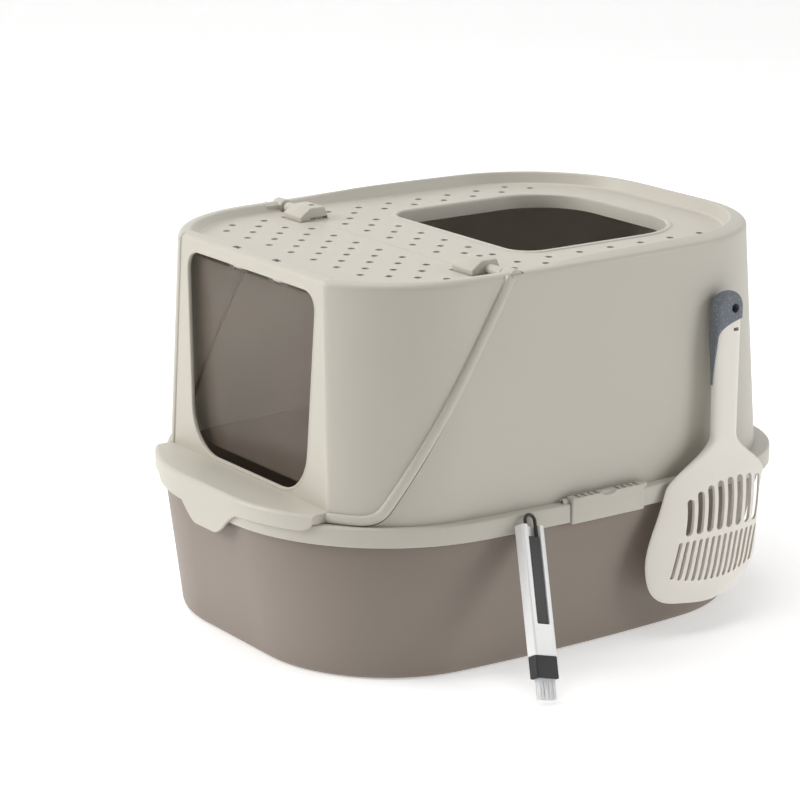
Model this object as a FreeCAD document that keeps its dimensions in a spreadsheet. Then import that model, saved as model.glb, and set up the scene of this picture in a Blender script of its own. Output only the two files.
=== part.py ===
"""Covered cat litter box with a lift-off hood, a flip-up front cover, a swing flap and its tools.

Millimetres, +Z up.  The origin is the middle of the pan's foot on the floor, -Y is the front
with the door, and +X is the side that carries the scoop.
"""
import FreeCAD
import Part
import Sketcher
import math
import os

doc = FreeCAD.newDocument("LitterBox")
sheet = doc.addObject("Spreadsheet::Sheet", "Sizes")

# Driving dimensions in mm and degrees.
SIZES = {
    # Outlines bow out along the sides: one large arc on each side, the same for all levels.
    "side_arc": 1700,
    # Ring outline: the skirt round the hood's lower edge, which drops over the pan's rim.
    "ring_half": 206, "ring_front": 270, "ring_rear": 270, "ring_rf": 164, "ring_rr": 114,
    "ring_top": 141, "ring_high": 17, "ring_low": "=ring_top - ring_high",
    "ring_wall": 3, "ring_bevel": 1.5, "rim_play": 0.8,
    # Pan foot outline, set in from the ring.
    "foot_in": 19, "foot_in_front": 26, "foot_in_rear": 28,
    "foot_half": "=ring_half - foot_in", "foot_front": "=ring_front - foot_in_front",
    "foot_rear": "=ring_rear - foot_in_rear", "foot_rf": 129, "foot_rr": 130,
    "foot_bevel": 4, "pan_wall": 3, "pan_floor": 3,
    # Hood wall outline at its base, set in from the ring by the shelf.
    "shelf_side": 10, "shelf_front": 25, "shelf_rear": 11, "panel_flat": 14,
    "base_half": "=ring_half - shelf_side", "base_front": "=ring_front - shelf_front",
    "base_rear": "=ring_rear - shelf_rear", "base_rf": 120, "base_rr": 115,
    "base_panel": "=base_front - panel_flat",
    # Hood wall outline below its rounded top edge, set in by the draft.
    "draft_side": 5, "draft_front": 5, "draft_rear": 1,
    "top_half": "=base_half - draft_side", "top_front": "=base_front - draft_front",
    "top_rear": "=base_rear - draft_rear", "top_rf": 131, "top_rr": 141,
    "top_panel": "=top_front - panel_flat",
    "deck_z": 340, "deck_thick": 3, "shoulder_rise": 1, "rim_rise": 8,
    "shoulder_z": "=deck_z + shoulder_rise", "rim_z": "=deck_z + rim_rise",
    "hood_wall": 3, "rim_round": 5, "rim_shoulder": 1.5, "rim_mid": 2, "rim_slope": 5, "rim_width": 7,
    # Seam between the flip-up cover and the rear hood.
    "seam_y": 81, "seam_foot_in": 37, "seam_foot_rise": 9,
    "seam_foot_y": "=base_panel - seam_foot_in", "seam_foot_z": "=ring_top + seam_foot_rise",
    "seam_gap": 0.8, "cover_play": 0.3,
    "bead_width": 9, "bead_proud": 3, "bead_foot": 9,
    # Cover hinge.
    "pivot_in": 6, "pivot_rise": 3.5, "pivot_y": "=seam_y - pivot_in", "pivot_z": "=deck_z + pivot_rise",
    "knuckle_rad": 7, "knuckle_inset": 20, "knuckle_in": "=top_half - knuckle_inset", "knuckle_long": 15,
    "knuckle_clear": 2, "bore_reach": 0.85,
    "block_inset": 73, "block_in": "=top_half - block_inset", "block_long": 30, "block_rise": 12,
    "block_front": 18, "block_back": 14, "block_slope": 10, "block_lip": 5, "block_play": 2,
    "pin_rad": 2.5, "pin_play": 0.25, "pin_seat": 0.05, "pin_end": 2, "pin_in": "=block_in + pin_end",
    "pin_reach": 0.8,
    # Door in the front panel.
    "door_top_gap": 6, "door_low_gap": 12, "door_top_inset": 87, "door_low_inset": 104,
    "door_top": "=deck_z - door_top_gap", "door_low": "=ring_top + door_low_gap",
    "door_top_half": "=top_half - door_top_inset", "door_low_half": "=base_half - door_low_inset",
    "door_top_round": 16, "door_low_round": 42,
    # Ledge and apron under the door.
    "apron_thick": 3, "apron_play": 0.4, "apron_rise": 9, "apron_drop": 7, "apron_inset": 66,
    "apron_top": "=ring_top + apron_rise", "apron_low": "=ring_top - apron_drop",
    "apron_half": "=base_half - apron_inset", "apron_end": 14, "ledge_thick": 3.5,
    "tab_half": 48, "tab_root_drop": 8, "tab_tip_half": 26, "tab_drop": 31, "tab_round": 14,
    "tab_root": "=ring_top - tab_root_drop", "tab_tip": "=ring_top - tab_drop",
    # Clear flap and its two pivots.
    "flap_lap": 2, "flap_half": "=door_top_half + flap_lap", "flap_foot": 4, "flap_low": "=door_low + flap_foot",
    "flap_hang": 9, "flap_neck": 3.5, "flap_pivot_z": "=deck_z - flap_hang",
    "flap_top": "=flap_pivot_z - flap_neck", "flap_thick": 1.5, "flap_behind": 17,
    "flap_y": "=base_panel - flap_behind", "lug_x": 32, "lug_half": 6, "lug_depth": 10,
    "flap_eye": 2.6, "flap_eye_long": 7, "flap_eye_gap": 0.5, "flap_pin": 1.2,
    "flap_pin_play": 0.25, "slot_half": 5, "slot_deep": 3, "slot_in": 4, "slot_y": "=flap_y - slot_in",
    # Top opening.
    "hatch_inset": 87, "hatch_half": "=top_half - hatch_inset", "hatch_front": 6, "hatch_rear_in": 68,
    "hatch_rear": "=top_rear - hatch_rear_in", "hatch_front_round": 24,
    "hatch_rear_round": 62, "hatch_lip": 12, "hatch_wall": 3,
    # Drain holes in the deck.
    "hole_rad": 3.5, "hole_pitch": 36, "hole_row": 17.2, "hole_first_in": 18.5, "hole_rear_in": 18,
    "hole_first_y": "=seam_y + hole_first_in", "hole_rear_y": "=seam_y - hole_rear_in",
    "hole_margin": 11, "front_margin": 40, "hole_front_rows": 5, "hole_rear_rows": 15, "hole_columns": 6,
    # Side latches.
    "latch_front": 28, "latch_long": 80, "latch_hang": 1.5, "latch_rise": 5, "latch_deep": 7.8,
    "latch_proud": 2, "latch_sink": 1, "latch_low": "=ring_low - latch_hang",
    "latch_top": "=ring_top + latch_rise", "latch_in": "=ring_half - latch_deep",
    "latch_out": "=ring_half + latch_proud", "latch_plate": 4.5, "latch_floor": "=ring_top - latch_sink",
    "latch_play": 0.6, "latch_pivot_in": 5, "latch_pivot_rise": 2,
    "latch_pivot_x": "=ring_half - latch_pivot_in", "latch_pivot_z": "=ring_top + latch_pivot_rise",
    "latch_pin": 1.4, "latch_pin_play": 0.25, "ear_long": 6, "ear_high": 5, "notch_deep": 9.1,
    "notch_in": "=ring_half - notch_deep",
    # Scoop, hung by its handle from a peg on the side wall, with its foot clear of the ring.
    "scoop_stand": 6, "scoop_drop": 52, "scoop_foot_out": 17, "scoop_tilt": 10.2,
    "scoop_x": "=top_half + scoop_stand", "scoop_y": 155, "scoop_z": "=deck_z - scoop_drop",
    "scoop_top": 14, "handle_half": 12.5, "handle_thick": 12, "handle_low": 130, "handle_taper": 1,
    "handle_round": 0.9, "blade_top": 172, "blade_half": 65, "blade_low": 270, "blade_thick": 4,
    "blade_round": 44, "scoop_lean": "=atan((ring_half + scoop_foot_out - scoop_x) / blade_low)",
    "slot_rows_z": 222, "slot_up_high": 40, "slot_down_high": 38, "slot_gap": 5,
    "slot_up_wide": 6, "slot_up_count": 8, "slot_down_wide": 3.4, "slot_down_count": 14,
    "slot_edge": 34, "slot_first": "=slot_edge - blade_half", "slot_up_pitch": 11.3, "slot_down_pitch": 6.4,
    "slot_round": 0.45,
    "peg_rad": 3.6, "peg_play": 0.3, "peg_short": 1, "peg_out": "=scoop_x - peg_short",
    "grip_low": 18, "grip_thick": 1.6, "grip_tail_low": 92, "grip_tail_wide": 5,
    # Gap brush in its slim dustpan, leaning on the ring with its tip on the floor.
    "brush_out": 77.7, "brush_x": "=ring_half + brush_out", "brush_y": -112.5, "brush_z": 4.4,
    "brush_lean": 29.2, "brush_swing": 15.6,
    "bristle_long": 18, "bristle_wide": 20, "bristle_thick": 7,
    "ferrule_long": 19, "ferrule_wide": 24, "ferrule_thick": 11,
    "grip_long": 114, "grip_wide": 24, "grip_thick_all": 12, "grip_closed": 27, "recess_deep": 7,
    "tool_wide": 13, "tool_thick": 5, "tool_top": 150, "tool_play": 0.4,
    "loop_rad": 5.2, "loop_wire": 1.6,
}
for row, (alias, size) in enumerate(SIZES.items(), start=1):
    sheet.set(f"A{row}", alias)
    sheet.set(f"B{row}", str(size))
    sheet.setAlias(f"B{row}", alias)
doc.recompute()

PLANES = {
    "XY": FreeCAD.Rotation(),
    "XZ": FreeCAD.Rotation(FreeCAD.Vector(1, 0, 0), 90),
    "YZ": FreeCAD.Rotation(FreeCAD.Vector(1, 1, 1), 120),
}
AXES = {
    "X": FreeCAD.Rotation(FreeCAD.Vector(0, 1, 0), 90),
    "Y": FreeCAD.Rotation(FreeCAD.Vector(1, 0, 0), -90),
    "Z": FreeCAD.Rotation(),
}


def named(text):
    """Turn size names in a formula into references to the sheet's cells."""
    words = str(text).replace("(", " ( ").replace(")", " ) ").split()
    return " ".join(f"Sizes.{word}" if word in SIZES else word for word in words)


def value(text):
    """The number that a formula of sizes gives now."""
    return float(sheet.evalExpression(named(text)))


def bind(item, prop, text):
    item.setExpression(prop, named(text))


def place(item, x="0", y="0", z="0"):
    for axis, text in zip("xyz", (x, y, z)):
        bind(item, f"Placement.Base.{axis}", text)
    return item


def box(name, low, size):
    item = doc.addObject("Part::Box", name)
    for prop, text in zip(("Length", "Width", "Height"), size):
        bind(item, prop, text)
    return place(item, *low)


def rod(name, radius, length, base, axis="Z"):
    item = doc.addObject("Part::Cylinder", name)
    item.Placement.Rotation = AXES[axis]
    bind(item, "Radius", radius)
    bind(item, "Height", length)
    return place(item, *base)


def cut(name, base, tool):
    item = doc.addObject("Part::Cut", name)
    item.Base, item.Tool = base, tool
    return item


def common(name, one, other):
    item = doc.addObject("Part::MultiCommon", name)
    item.Shapes = [one, other]
    return item


def fuse(name, *shapes):
    item = doc.addObject("Part::MultiFuse", name)
    item.Shapes = list(shapes)
    item.Refine = True
    return item


def group(name, *shapes):
    item = doc.addObject("Part::Compound", name)
    item.Links = list(shapes)
    return item


def mirrored(name, source):
    item = doc.addObject("Part::Mirroring", name)
    item.Source = source
    item.Base, item.Normal = FreeCAD.Vector(0, 0, 0), FreeCAD.Vector(1, 0, 0)
    return item


def loft(name, *sections):
    item = doc.addObject("Part::Loft", name)
    item.Sections = list(sections)
    item.Solid, item.Ruled = True, True
    return item


def extrude(name, sketch, length, back="0"):
    item = doc.addObject("Part::Extrusion", name)
    item.Base, item.DirMode, item.Solid = sketch, "Normal", True
    bind(item, "LengthFwd", length)
    bind(item, "LengthRev", back)
    return item


def new_sketch(name, plane="XY"):
    sketch = doc.addObject("Sketcher::SketchObject", name)
    sketch.Placement.Rotation = PLANES[plane]
    return sketch


def pin_down(sketch, geo, pos, across, up):
    """Fix one point of a sketch at formulas of its two coordinates."""
    for kind, text in (("DistanceX", across), ("DistanceY", up)):
        number = value(text)
        if number < 0:
            index = sketch.addConstraint(Sketcher.Constraint(kind, geo, pos, -1, 1, -number))
            bind(sketch, f"Constraints[{index}]", f"-1 * ( {text} )")
        else:
            index = sketch.addConstraint(Sketcher.Constraint(kind, -1, 1, geo, pos, number))
            bind(sketch, f"Constraints[{index}]", text)


def set_radius(sketch, geo, text):
    index = sketch.addConstraint(Sketcher.Constraint("Radius", geo, value(text)))
    bind(sketch, f"Constraints[{index}]", text)


def outline(name, z, kind, grow="0", panel=False):
    """A level of a shell: flat front and rear, rounded corners, sides bowed on a large arc.

    With a panel, the flat front cuts the front corners' arcs at a crease instead of
    running into them smoothly.
    """
    sketch = new_sketch(name)
    half, front, rear, rf, rr = (f"{kind}_{word} + {grow}" for word in ("half", "front", "rear", "rf", "rr"))
    arc = f"side_arc + {grow}"
    side_x = value(half) - value(arc)

    def corner(radius, centre_y):
        reach = value(arc) - radius
        return FreeCAD.Vector(side_x + math.sqrt(reach**2 - centre_y**2), centre_y, 0)

    front_c = corner(value(rf), value(rf) - value(front))
    rear_c = corner(value(rr), value(rear) - value(rr))
    side_c = FreeCAD.Vector(side_x, 0, 0)
    front_y = -value(f"{kind}_panel + {grow}") if panel else -value(front)
    front_angle = math.asin((front_y - front_c.y) / value(rf))
    front_side = math.atan2(front_c.y, front_c.x - side_x)
    rear_side = math.atan2(rear_c.y, rear_c.x - side_x)
    normal = FreeCAD.Vector(0, 0, 1)

    def both(centre, radius, start, end):
        right = Part.ArcOfCircle(Part.Circle(centre, normal, radius), start, end)
        flipped = FreeCAD.Vector(-centre.x, centre.y, 0)
        left = Part.ArcOfCircle(Part.Circle(flipped, normal, radius), math.pi - end, math.pi - start)
        return right, left

    crease = front_c.x + value(rf) * math.cos(front_angle)
    front_r, front_l = both(front_c, value(rf), front_angle, front_side)
    side_r, side_l = both(side_c, value(arc), front_side, rear_side)
    rear_r, rear_l = both(rear_c, value(rr), rear_side, math.pi / 2)
    front_line = Part.LineSegment(FreeCAD.Vector(-crease, front_y, 0), FreeCAD.Vector(crease, front_y, 0))
    rear_line = Part.LineSegment(FreeCAD.Vector(rear_c.x, value(rear), 0), FreeCAD.Vector(-rear_c.x, value(rear), 0))
    sketch.addGeometry([front_line, front_r, side_r, rear_r, rear_line, rear_l, side_l, front_l])
    start, end, centre = 1, 2, 3
    chain = [(0, end, 1, start), (1, end, 2, start), (2, end, 3, start), (3, end, 4, start),
             (4, end, 5, start), (5, end, 6, start), (6, end, 7, start), (7, end, 0, start)]
    for one, one_end, other, other_end in chain:
        touches_panel = panel and 0 in (one, other)
        bond = "Coincident" if touches_panel else "Tangent"
        sketch.addConstraint(Sketcher.Constraint(bond, one, one_end, other, other_end))
    front_text = f"{kind}_panel + {grow}" if panel else front
    for line, ends, text in ((0, (0, start, -1, 1), front_text), (4, (-1, 1, 4, start), rear)):
        sketch.addConstraint(Sketcher.Constraint("Horizontal", line))
        index = sketch.addConstraint(Sketcher.Constraint("DistanceY", *ends, value(text)))
        bind(sketch, f"Constraints[{index}]", text)
    for geo, text in ((1, rf), (7, rf), (3, rr), (5, rr), (2, arc), (6, arc)):
        set_radius(sketch, geo, text)
    for geo, ends in ((2, (2, centre, -1, 1)), (6, (-1, 1, 6, centre))):
        sketch.addConstraint(Sketcher.Constraint("PointOnObject", geo, centre, -1))
        index = sketch.addConstraint(Sketcher.Constraint("DistanceX", *ends, -side_x))
        bind(sketch, f"Constraints[{index}]", f"{arc} - ( {half} )")
    if panel:
        for geo in (1, 7):
            index = sketch.addConstraint(Sketcher.Constraint("DistanceY", geo, centre, -1, 1, -front_c.y))
            bind(sketch, f"Constraints[{index}]", f"{front} - ( {rf} )")
    return place(sketch, z=z)


def polygon(name, plane, corners):
    """A closed outline through named corners; a third formula at a corner rounds it."""
    sketch = new_sketch(name, plane)
    points = [FreeCAD.Vector(value(corner[0]), value(corner[1]), 0) for corner in corners]
    rounds = [value(corner[2]) if len(corner) > 2 else 0 for corner in corners]
    count = len(corners)
    starts, ends, arcs = [], [], []
    for i, point in enumerate(points):
        before = (points[i - 1] - point).normalize()
        after = (points[(i + 1) % count] - point).normalize()
        half_turn = before.getAngle(after) / 2
        back_off = rounds[i] / math.tan(half_turn)
        ends.append(point + before * back_off)
        starts.append(point + after * back_off)
        if rounds[i]:
            centre = point + (before + after).normalize() * (rounds[i] / math.sin(half_turn))
            turns_left = before.cross(after).z < 0
            first, last = (ends[i], starts[i]) if turns_left else (starts[i], ends[i])
            sweep = [math.atan2(spot.y - centre.y, spot.x - centre.x) for spot in (first, last)]
            sweep[1] += 2 * math.pi * (sweep[1] < sweep[0])
            circle = Part.Circle(centre, FreeCAD.Vector(0, 0, 1), rounds[i])
            arcs.append((Part.ArcOfCircle(circle, *sweep), (1, 2) if turns_left else (2, 1)))
        else:
            arcs.append(None)
    lines = []
    for i in range(count):
        lines.append(sketch.addGeometry(Part.LineSegment(starts[i], ends[(i + 1) % count])))
    for i, corner in enumerate(corners):
        into, out = lines[i - 1], lines[i]
        if arcs[i] is None:
            sketch.addConstraint(Sketcher.Constraint("Coincident", into, 2, out, 1))
            pin_down(sketch, out, 1, corner[0], corner[1])
            continue
        arc = sketch.addGeometry(arcs[i][0])
        near, far = arcs[i][1]
        tip = sketch.addGeometry(Part.Point(points[i]), True)
        pin_down(sketch, tip, 1, corner[0], corner[1])
        sketch.addConstraint(Sketcher.Constraint("PointOnObject", tip, 1, into))
        sketch.addConstraint(Sketcher.Constraint("PointOnObject", tip, 1, out))
        sketch.addConstraint(Sketcher.Constraint("Tangent", into, 2, arc, near))
        sketch.addConstraint(Sketcher.Constraint("Tangent", arc, far, out, 1))
        set_radius(sketch, arc, corner[2])
    return sketch


def wide(name, sketch):
    """A YZ outline run across the whole width of the box."""
    return extrude(name, sketch, "2 * ring_half", "2 * ring_half")


def make_pan():
    """Open tub: bevelled foot, walls that lean out, a plain rim that the ring drops over."""
    rim_grow = "( 0 - ring_wall - rim_play )"
    outer = loft("PanOuter",
                 outline("PanUnderside", "0", "foot", "( 0 - foot_bevel )"),
                 outline("PanFoot", "foot_bevel", "foot"),
                 outline("PanRim", "ring_top - ring_wall", "ring", rim_grow))
    inner = loft("PanInner",
                 outline("PanFloor", "pan_floor", "foot", "( 0 - pan_wall )"),
                 outline("PanMouth", "ring_top - ring_wall", "ring", "( 0 - ring_wall - rim_play - pan_wall )"))
    return cut("Pan", outer, inner)


def make_hood_shell():
    """The whole hood before the seam parts it: drafted walls, rounded rim, sunk deck."""
    outer = loft("HoodOuter",
                 outline("HoodBase", "ring_top", "base", panel=True),
                 outline("HoodShoulder", "shoulder_z", "top", panel=True),
                 outline("HoodRound", "rim_z - rim_mid", "top", "( 0 - rim_shoulder )", panel=True),
                 outline("HoodRim", "rim_z", "top", "( 0 - rim_round )", panel=True))
    inner = loft("HoodInner",
                 outline("CabinBase", "ring_top", "base", "( 0 - hood_wall )", panel=True),
                 outline("CabinRoof", "deck_z - deck_thick", "top", "( 0 - hood_wall )", panel=True))
    sunk = loft("DeckRecess",
                outline("DeckFloor", "deck_z", "top", "( 0 - rim_round - rim_width - rim_slope )", panel=True),
                outline("DeckMouth", "rim_z", "top", "( 0 - rim_round - rim_width )", panel=True))
    return outer, inner, cut("HoodShell", cut("HoodWalls", outer, inner), sunk)


def make_seam(name, shift, floor):
    """All that lies in front of the seam, as a block to part the hood with."""
    far = "2 * ring_front"
    high = "2 * rim_z"
    return wide(name, polygon(f"{name}Outline", "YZ", [
        (f"{shift} - seam_y", high),
        (f"{shift} - seam_y", "deck_z - deck_thick / 2"),
        (f"{shift} - seam_foot_y", "seam_foot_z"),
        (f"{shift} - seam_foot_y", floor),
        (f"0 - {far}", floor),
        (f"0 - {far}", high)]))


def make_ring():
    """Skirt with a flat shelf inside, which rests on the pan's rim."""
    outer = loft("RingOuter",
                 outline("RingLow", "ring_low", "ring"),
                 outline("RingEdge", "ring_top - ring_bevel", "ring"),
                 outline("RingTop", "ring_top", "ring", "( 0 - ring_bevel )"))
    inside = extrude("RingInside", outline("RingCavity", "ring_low", "ring", "( 0 - ring_wall )"),
                     "ring_top - ring_wall - ring_low")
    hole = extrude("RingHole", outline("RingMouth", "ring_low", "base", "( 0 - hood_wall )", panel=True),
                   "ring_top - ring_low")
    return cut("RingShelf", cut("RingBand", outer, inside), hole)


def hole_places(front):
    """Centres of the drain holes: every second row is shifted by half a pitch."""
    pitch, step = value("hole_pitch"), value("hole_row")
    margin, radius = value("hole_margin"), value("hole_rad")
    edge = value("top_half - rim_round - rim_width - rim_slope") - margin - radius
    places = []
    columns = int(value("hole_columns"))
    rows = range(int(value("hole_front_rows" if front else "hole_rear_rows")))
    for row in rows:
        y = f"0 - hole_first_y - {row} * hole_row" if front else f"{row} * hole_row - hole_rear_y"
        y_now = value(y)
        offset = 0.5 if row % 2 == 0 else 0
        for column in range(-columns, columns):
            x = f"{column + offset} * hole_pitch"
            x_now = value(x)
            inset = max(0, -y_now - value("front_margin")) ** 2 / (2 * value("top_rf"))
            inset = max(inset, max(0, y_now - value("top_rear - top_rr")) ** 2 / value("2 * top_rr"))
            if abs(x_now) > edge - inset:
                continue
            by_hatch = y_now > -value("hatch_front + hatch_wall") - margin
            if not front and by_hatch and abs(x_now) < value("hatch_half + hatch_wall") + margin / 2:
                continue
            by_block = abs(y_now + value("pivot_y")) < value("block_front") + margin
            if by_block and abs(x_now) > value("block_in") - margin:
                continue
            places.append((x, y))
    return places


def make_holes(name, places):
    sketch = new_sketch(f"{name}Plan")
    for x, y in places:
        centre = FreeCAD.Vector(value(x), value(y), 0)
        geo = sketch.addGeometry(Part.Circle(centre, FreeCAD.Vector(0, 0, 1), value("hole_rad")))
        if abs(centre.x) < 1e-6:
            sketch.addConstraint(Sketcher.Constraint("PointOnObject", geo, 3, -2))
            index = sketch.addConstraint(Sketcher.Constraint("DistanceY", geo, 3, -1, 1, -centre.y))
            bind(sketch, f"Constraints[{index}]", f"-1 * ( {y} )")
        else:
            pin_down(sketch, geo, 3, x, y)
        set_radius(sketch, geo, "hole_rad")
    place(sketch, z="deck_z - 2 * deck_thick")
    return extrude(name, sketch, "3 * deck_thick")


def hatch_plan(name, grow):
    front, rear, half = f"0 - hatch_front - {grow}", f"hatch_rear + {grow}", f"hatch_half + {grow}"
    return polygon(name, "XY", [
        (f"0 - ( {half} )", front, f"hatch_front_round + {grow}"),
        (half, front, f"hatch_front_round + {grow}"),
        (half, rear, f"hatch_rear_round + {grow}"),
        (f"0 - ( {half} )", rear, f"hatch_rear_round + {grow}")])


def make_latch(side):
    """Snap latch: a top block on a cross pin, with a plate that hangs over the ring and the rim."""
    profile = polygon(f"LatchProfile{side}", "XZ", [
        ("latch_in", "latch_floor"),
        ("latch_out - latch_plate", "latch_floor"),
        ("latch_out - latch_plate", "latch_low"),
        ("latch_out", "latch_low"),
        ("latch_out", "latch_top", "ring_bevel"),
        ("latch_in", "latch_top", "ring_bevel")])
    place(profile, y="latch_long - latch_front")
    block = extrude(f"LatchBlock{side}", profile, "latch_long")
    bore = rod(f"LatchBore{side}", "latch_pin + latch_pin_play", "2 * latch_long",
               ("latch_pivot_x", "0 - latch_long", "latch_pivot_z"), "Y")
    return cut(f"Latch{side}", block, bore)


def make_latch_pin(side):
    return rod(f"LatchPin{side}", "latch_pin", "latch_long + 2 * latch_play + 2 * ear_long",
               ("latch_pivot_x", "0 - latch_front - latch_play - ear_long", "latch_pivot_z"), "Y")


def make_ears(side):
    """Two ears on the ring's shelf that carry the latch pin."""
    size = ("latch_out - notch_in - latch_plate", "ear_long", "ear_high + ring_bevel")
    floor = "ring_top - ring_bevel"
    front = box(f"EarFront{side}", ("notch_in", "0 - latch_front - latch_play - ear_long", floor), size)
    rear = box(f"EarRear{side}", ("notch_in", "latch_long - latch_front + latch_play", floor), size)
    return front, rear


def make_notch(side):
    opening = box(f"LatchNotch{side}", ("notch_in", "0 - latch_front - latch_play", "ring_low - ring_wall"),
                  ("ring_half", "latch_long + 2 * latch_play", "latch_top - ring_low + 2 * ring_wall"))
    bore = rod(f"EarBore{side}", "latch_pin + pin_seat", "2 * latch_long",
               ("latch_pivot_x", "0 - latch_long", "latch_pivot_z"), "Y")
    return opening, bore


def make_knuckle(side, outer):
    """Round end of the cover's side wall, on the hinge axis, kept within the wall's face."""
    barrel = rod(f"KnuckleBarrel{side}", "knuckle_rad", "knuckle_long",
                 ("knuckle_in", "0 - pivot_y", "pivot_z"), "X")
    floor = "deck_z - deck_thick / 4"
    web = box(f"KnuckleWeb{side}", ("knuckle_in", "0 - seam_y - 2 * knuckle_rad", floor),
              ("knuckle_long", "seam_y - pivot_y + 2 * knuckle_rad", f"rim_z - ( {floor} )"))
    return barrel, common(f"KnuckleArm{side}", web, outer)


def make_block(side):
    """Hinge block on the rear deck: a raised, sloped housing whose nose fills a gap in the front deck."""
    back, nose = "block_back - pivot_y", "0 - pivot_y - block_front"
    deck_edge = "seam_gap / 2 - seam_y"
    profile = polygon(f"BlockProfile{side}", "YZ", [
        (nose, "deck_z - deck_thick / 2"),
        (nose, "deck_z + block_lip"),
        (f"{nose} + block_slope", "deck_z + block_rise"),
        (f"{back} - block_lip", "deck_z + block_rise"),
        (back, "deck_z"),
        (deck_edge, "deck_z"),
        (deck_edge, "deck_z - deck_thick / 2")])
    place(profile, x="block_in")
    housing = extrude(f"BlockHousing{side}", profile, "block_long")
    bore = rod(f"BlockBore{side}", "pin_rad + pin_seat", "block_in + block_long - pin_in",
               ("pin_in", "0 - pivot_y", "pivot_z"), "X")
    return cut(f"Block{side}", housing, bore)


def make_hinge_pin(side):
    return rod(f"HingePin{side}", "pin_rad", "knuckle_in + pin_reach * knuckle_long - pin_in",
               ("pin_in", "0 - pivot_y", "pivot_z"), "X")


def make_rear_hood(shell, ring):
    """Rear walls, rear deck with the top opening, and the ring, as one moulding."""
    walls = cut("RearWalls", shell, make_seam("RearSeam", "seam_gap / 2", "ring_top - ring_wall"))
    lip_top = "deck_z - hatch_lip"
    lip = extrude("HatchLip", place(hatch_plan("HatchLipPlan", "hatch_wall"), z=lip_top), "hatch_lip")
    opening = extrude("HatchHole", place(hatch_plan("HatchHolePlan", "0"), z=f"{lip_top} - deck_thick"),
                      "hatch_lip + 2 * deck_thick")
    solids = [walls, ring, lip]
    cutters = [opening, make_holes("RearHoles", hole_places(front=False))]
    for side in ("Right", "Left"):
        pieces = list(make_ears(side))
        notch, bore = make_notch(side)
        relief = rod(f"KnuckleRelief{side}", "knuckle_rad + knuckle_clear", "knuckle_long + ring_bevel + hood_wall",
                     ("knuckle_in - ring_bevel", "0 - pivot_y", "pivot_z"), "X")
        tools = [notch, bore, relief]
        if side == "Left":
            pieces = [mirrored(f"{piece.Name}Copy", piece) for piece in pieces]
            tools = [mirrored(f"{tool.Name}Copy", tool) for tool in tools]
        solids += pieces
        cutters += tools
    return cut("RearHood", fuse("RearSolids", *solids), fuse("RearCutters", *cutters))


def make_door():
    plan = polygon("DoorOutline", "XZ", [
        ("0 - door_low_half", "door_low", "door_low_round"),
        ("door_low_half", "door_low", "door_low_round"),
        ("door_top_half", "door_top", "door_top_round"),
        ("0 - door_top_half", "door_top", "door_top_round")])
    place(plan, y="0 - base_panel + 4 * hood_wall")
    return extrude("DoorHole", plan, "8 * hood_wall")


def make_apron(inner):
    """Ledge in front of the door, turned down over the ring as an apron with a rounded pull tab."""
    outer_grow, inner_grow = "apron_play + apron_thick", "apron_play"
    high = "apron_top - tab_tip"
    skin = cut("ApronSkin",
               extrude("ApronOuter", outline("ApronOuterPlan", "tab_tip", "ring", f"( {outer_grow} )"), high),
               extrude("ApronInner", outline("ApronInnerPlan", "tab_tip", "ring", f"( {inner_grow} )"),
                       f"{high} - ledge_thick"))
    front_view = polygon("ApronFrontView", "XZ", [
        ("0 - apron_half", "apron_top"),
        ("0 - apron_half + apron_end", "apron_low"),
        ("0 - tab_half", "tab_root", "tab_round"),
        ("0 - tab_tip_half", "tab_tip", "tab_round"),
        ("tab_tip_half", "tab_tip", "tab_round"),
        ("tab_half", "tab_root", "tab_round"),
        ("apron_half - apron_end", "apron_low"),
        ("apron_half", "apron_top")])
    place(front_view, y="ring_wall + hood_wall - base_panel")
    shaped = common("ApronShaped", skin, extrude("ApronFrontBlock", front_view, "ring_front"))
    return cut("Apron", shaped, inner)


def make_bead(outer):
    """Raised bead along the cover's rear edges and round its foot."""
    grown = loft("BeadSkin",
                 outline("BeadBase", "ring_top", "base", "bead_proud", panel=True),
                 outline("BeadTop", "shoulder_z", "top", "bead_proud", panel=True))
    edge, foot = "0 - seam_gap / 2 - seam_y", "0 - seam_gap / 2 - seam_foot_y"
    floor = "ring_top + cover_play"
    top = "deck_z - deck_thick / 2"
    band = wide("BeadBand", polygon("BeadBandOutline", "YZ", [
        (edge, top),
        (foot, "seam_foot_z"),
        (foot, floor),
        ("0 - ring_front", floor),
        ("0 - ring_front", f"{floor} + bead_foot"),
        (f"{foot} - bead_width", f"{floor} + bead_foot"),
        (f"{edge} - bead_width", top)]))
    return cut("Bead", common("BeadStrip", grown, band), outer)


def make_lug(side):
    """Lug under the front deck that holds a flap pivot."""
    return box(f"FlapLug{side}", ("lug_x - lug_half", "0 - flap_y - lug_depth / 2", "flap_pivot_z - lug_depth / 2"),
               ("2 * lug_half", "lug_depth", "deck_z - deck_thick - flap_pivot_z + lug_depth / 2"))


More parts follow.
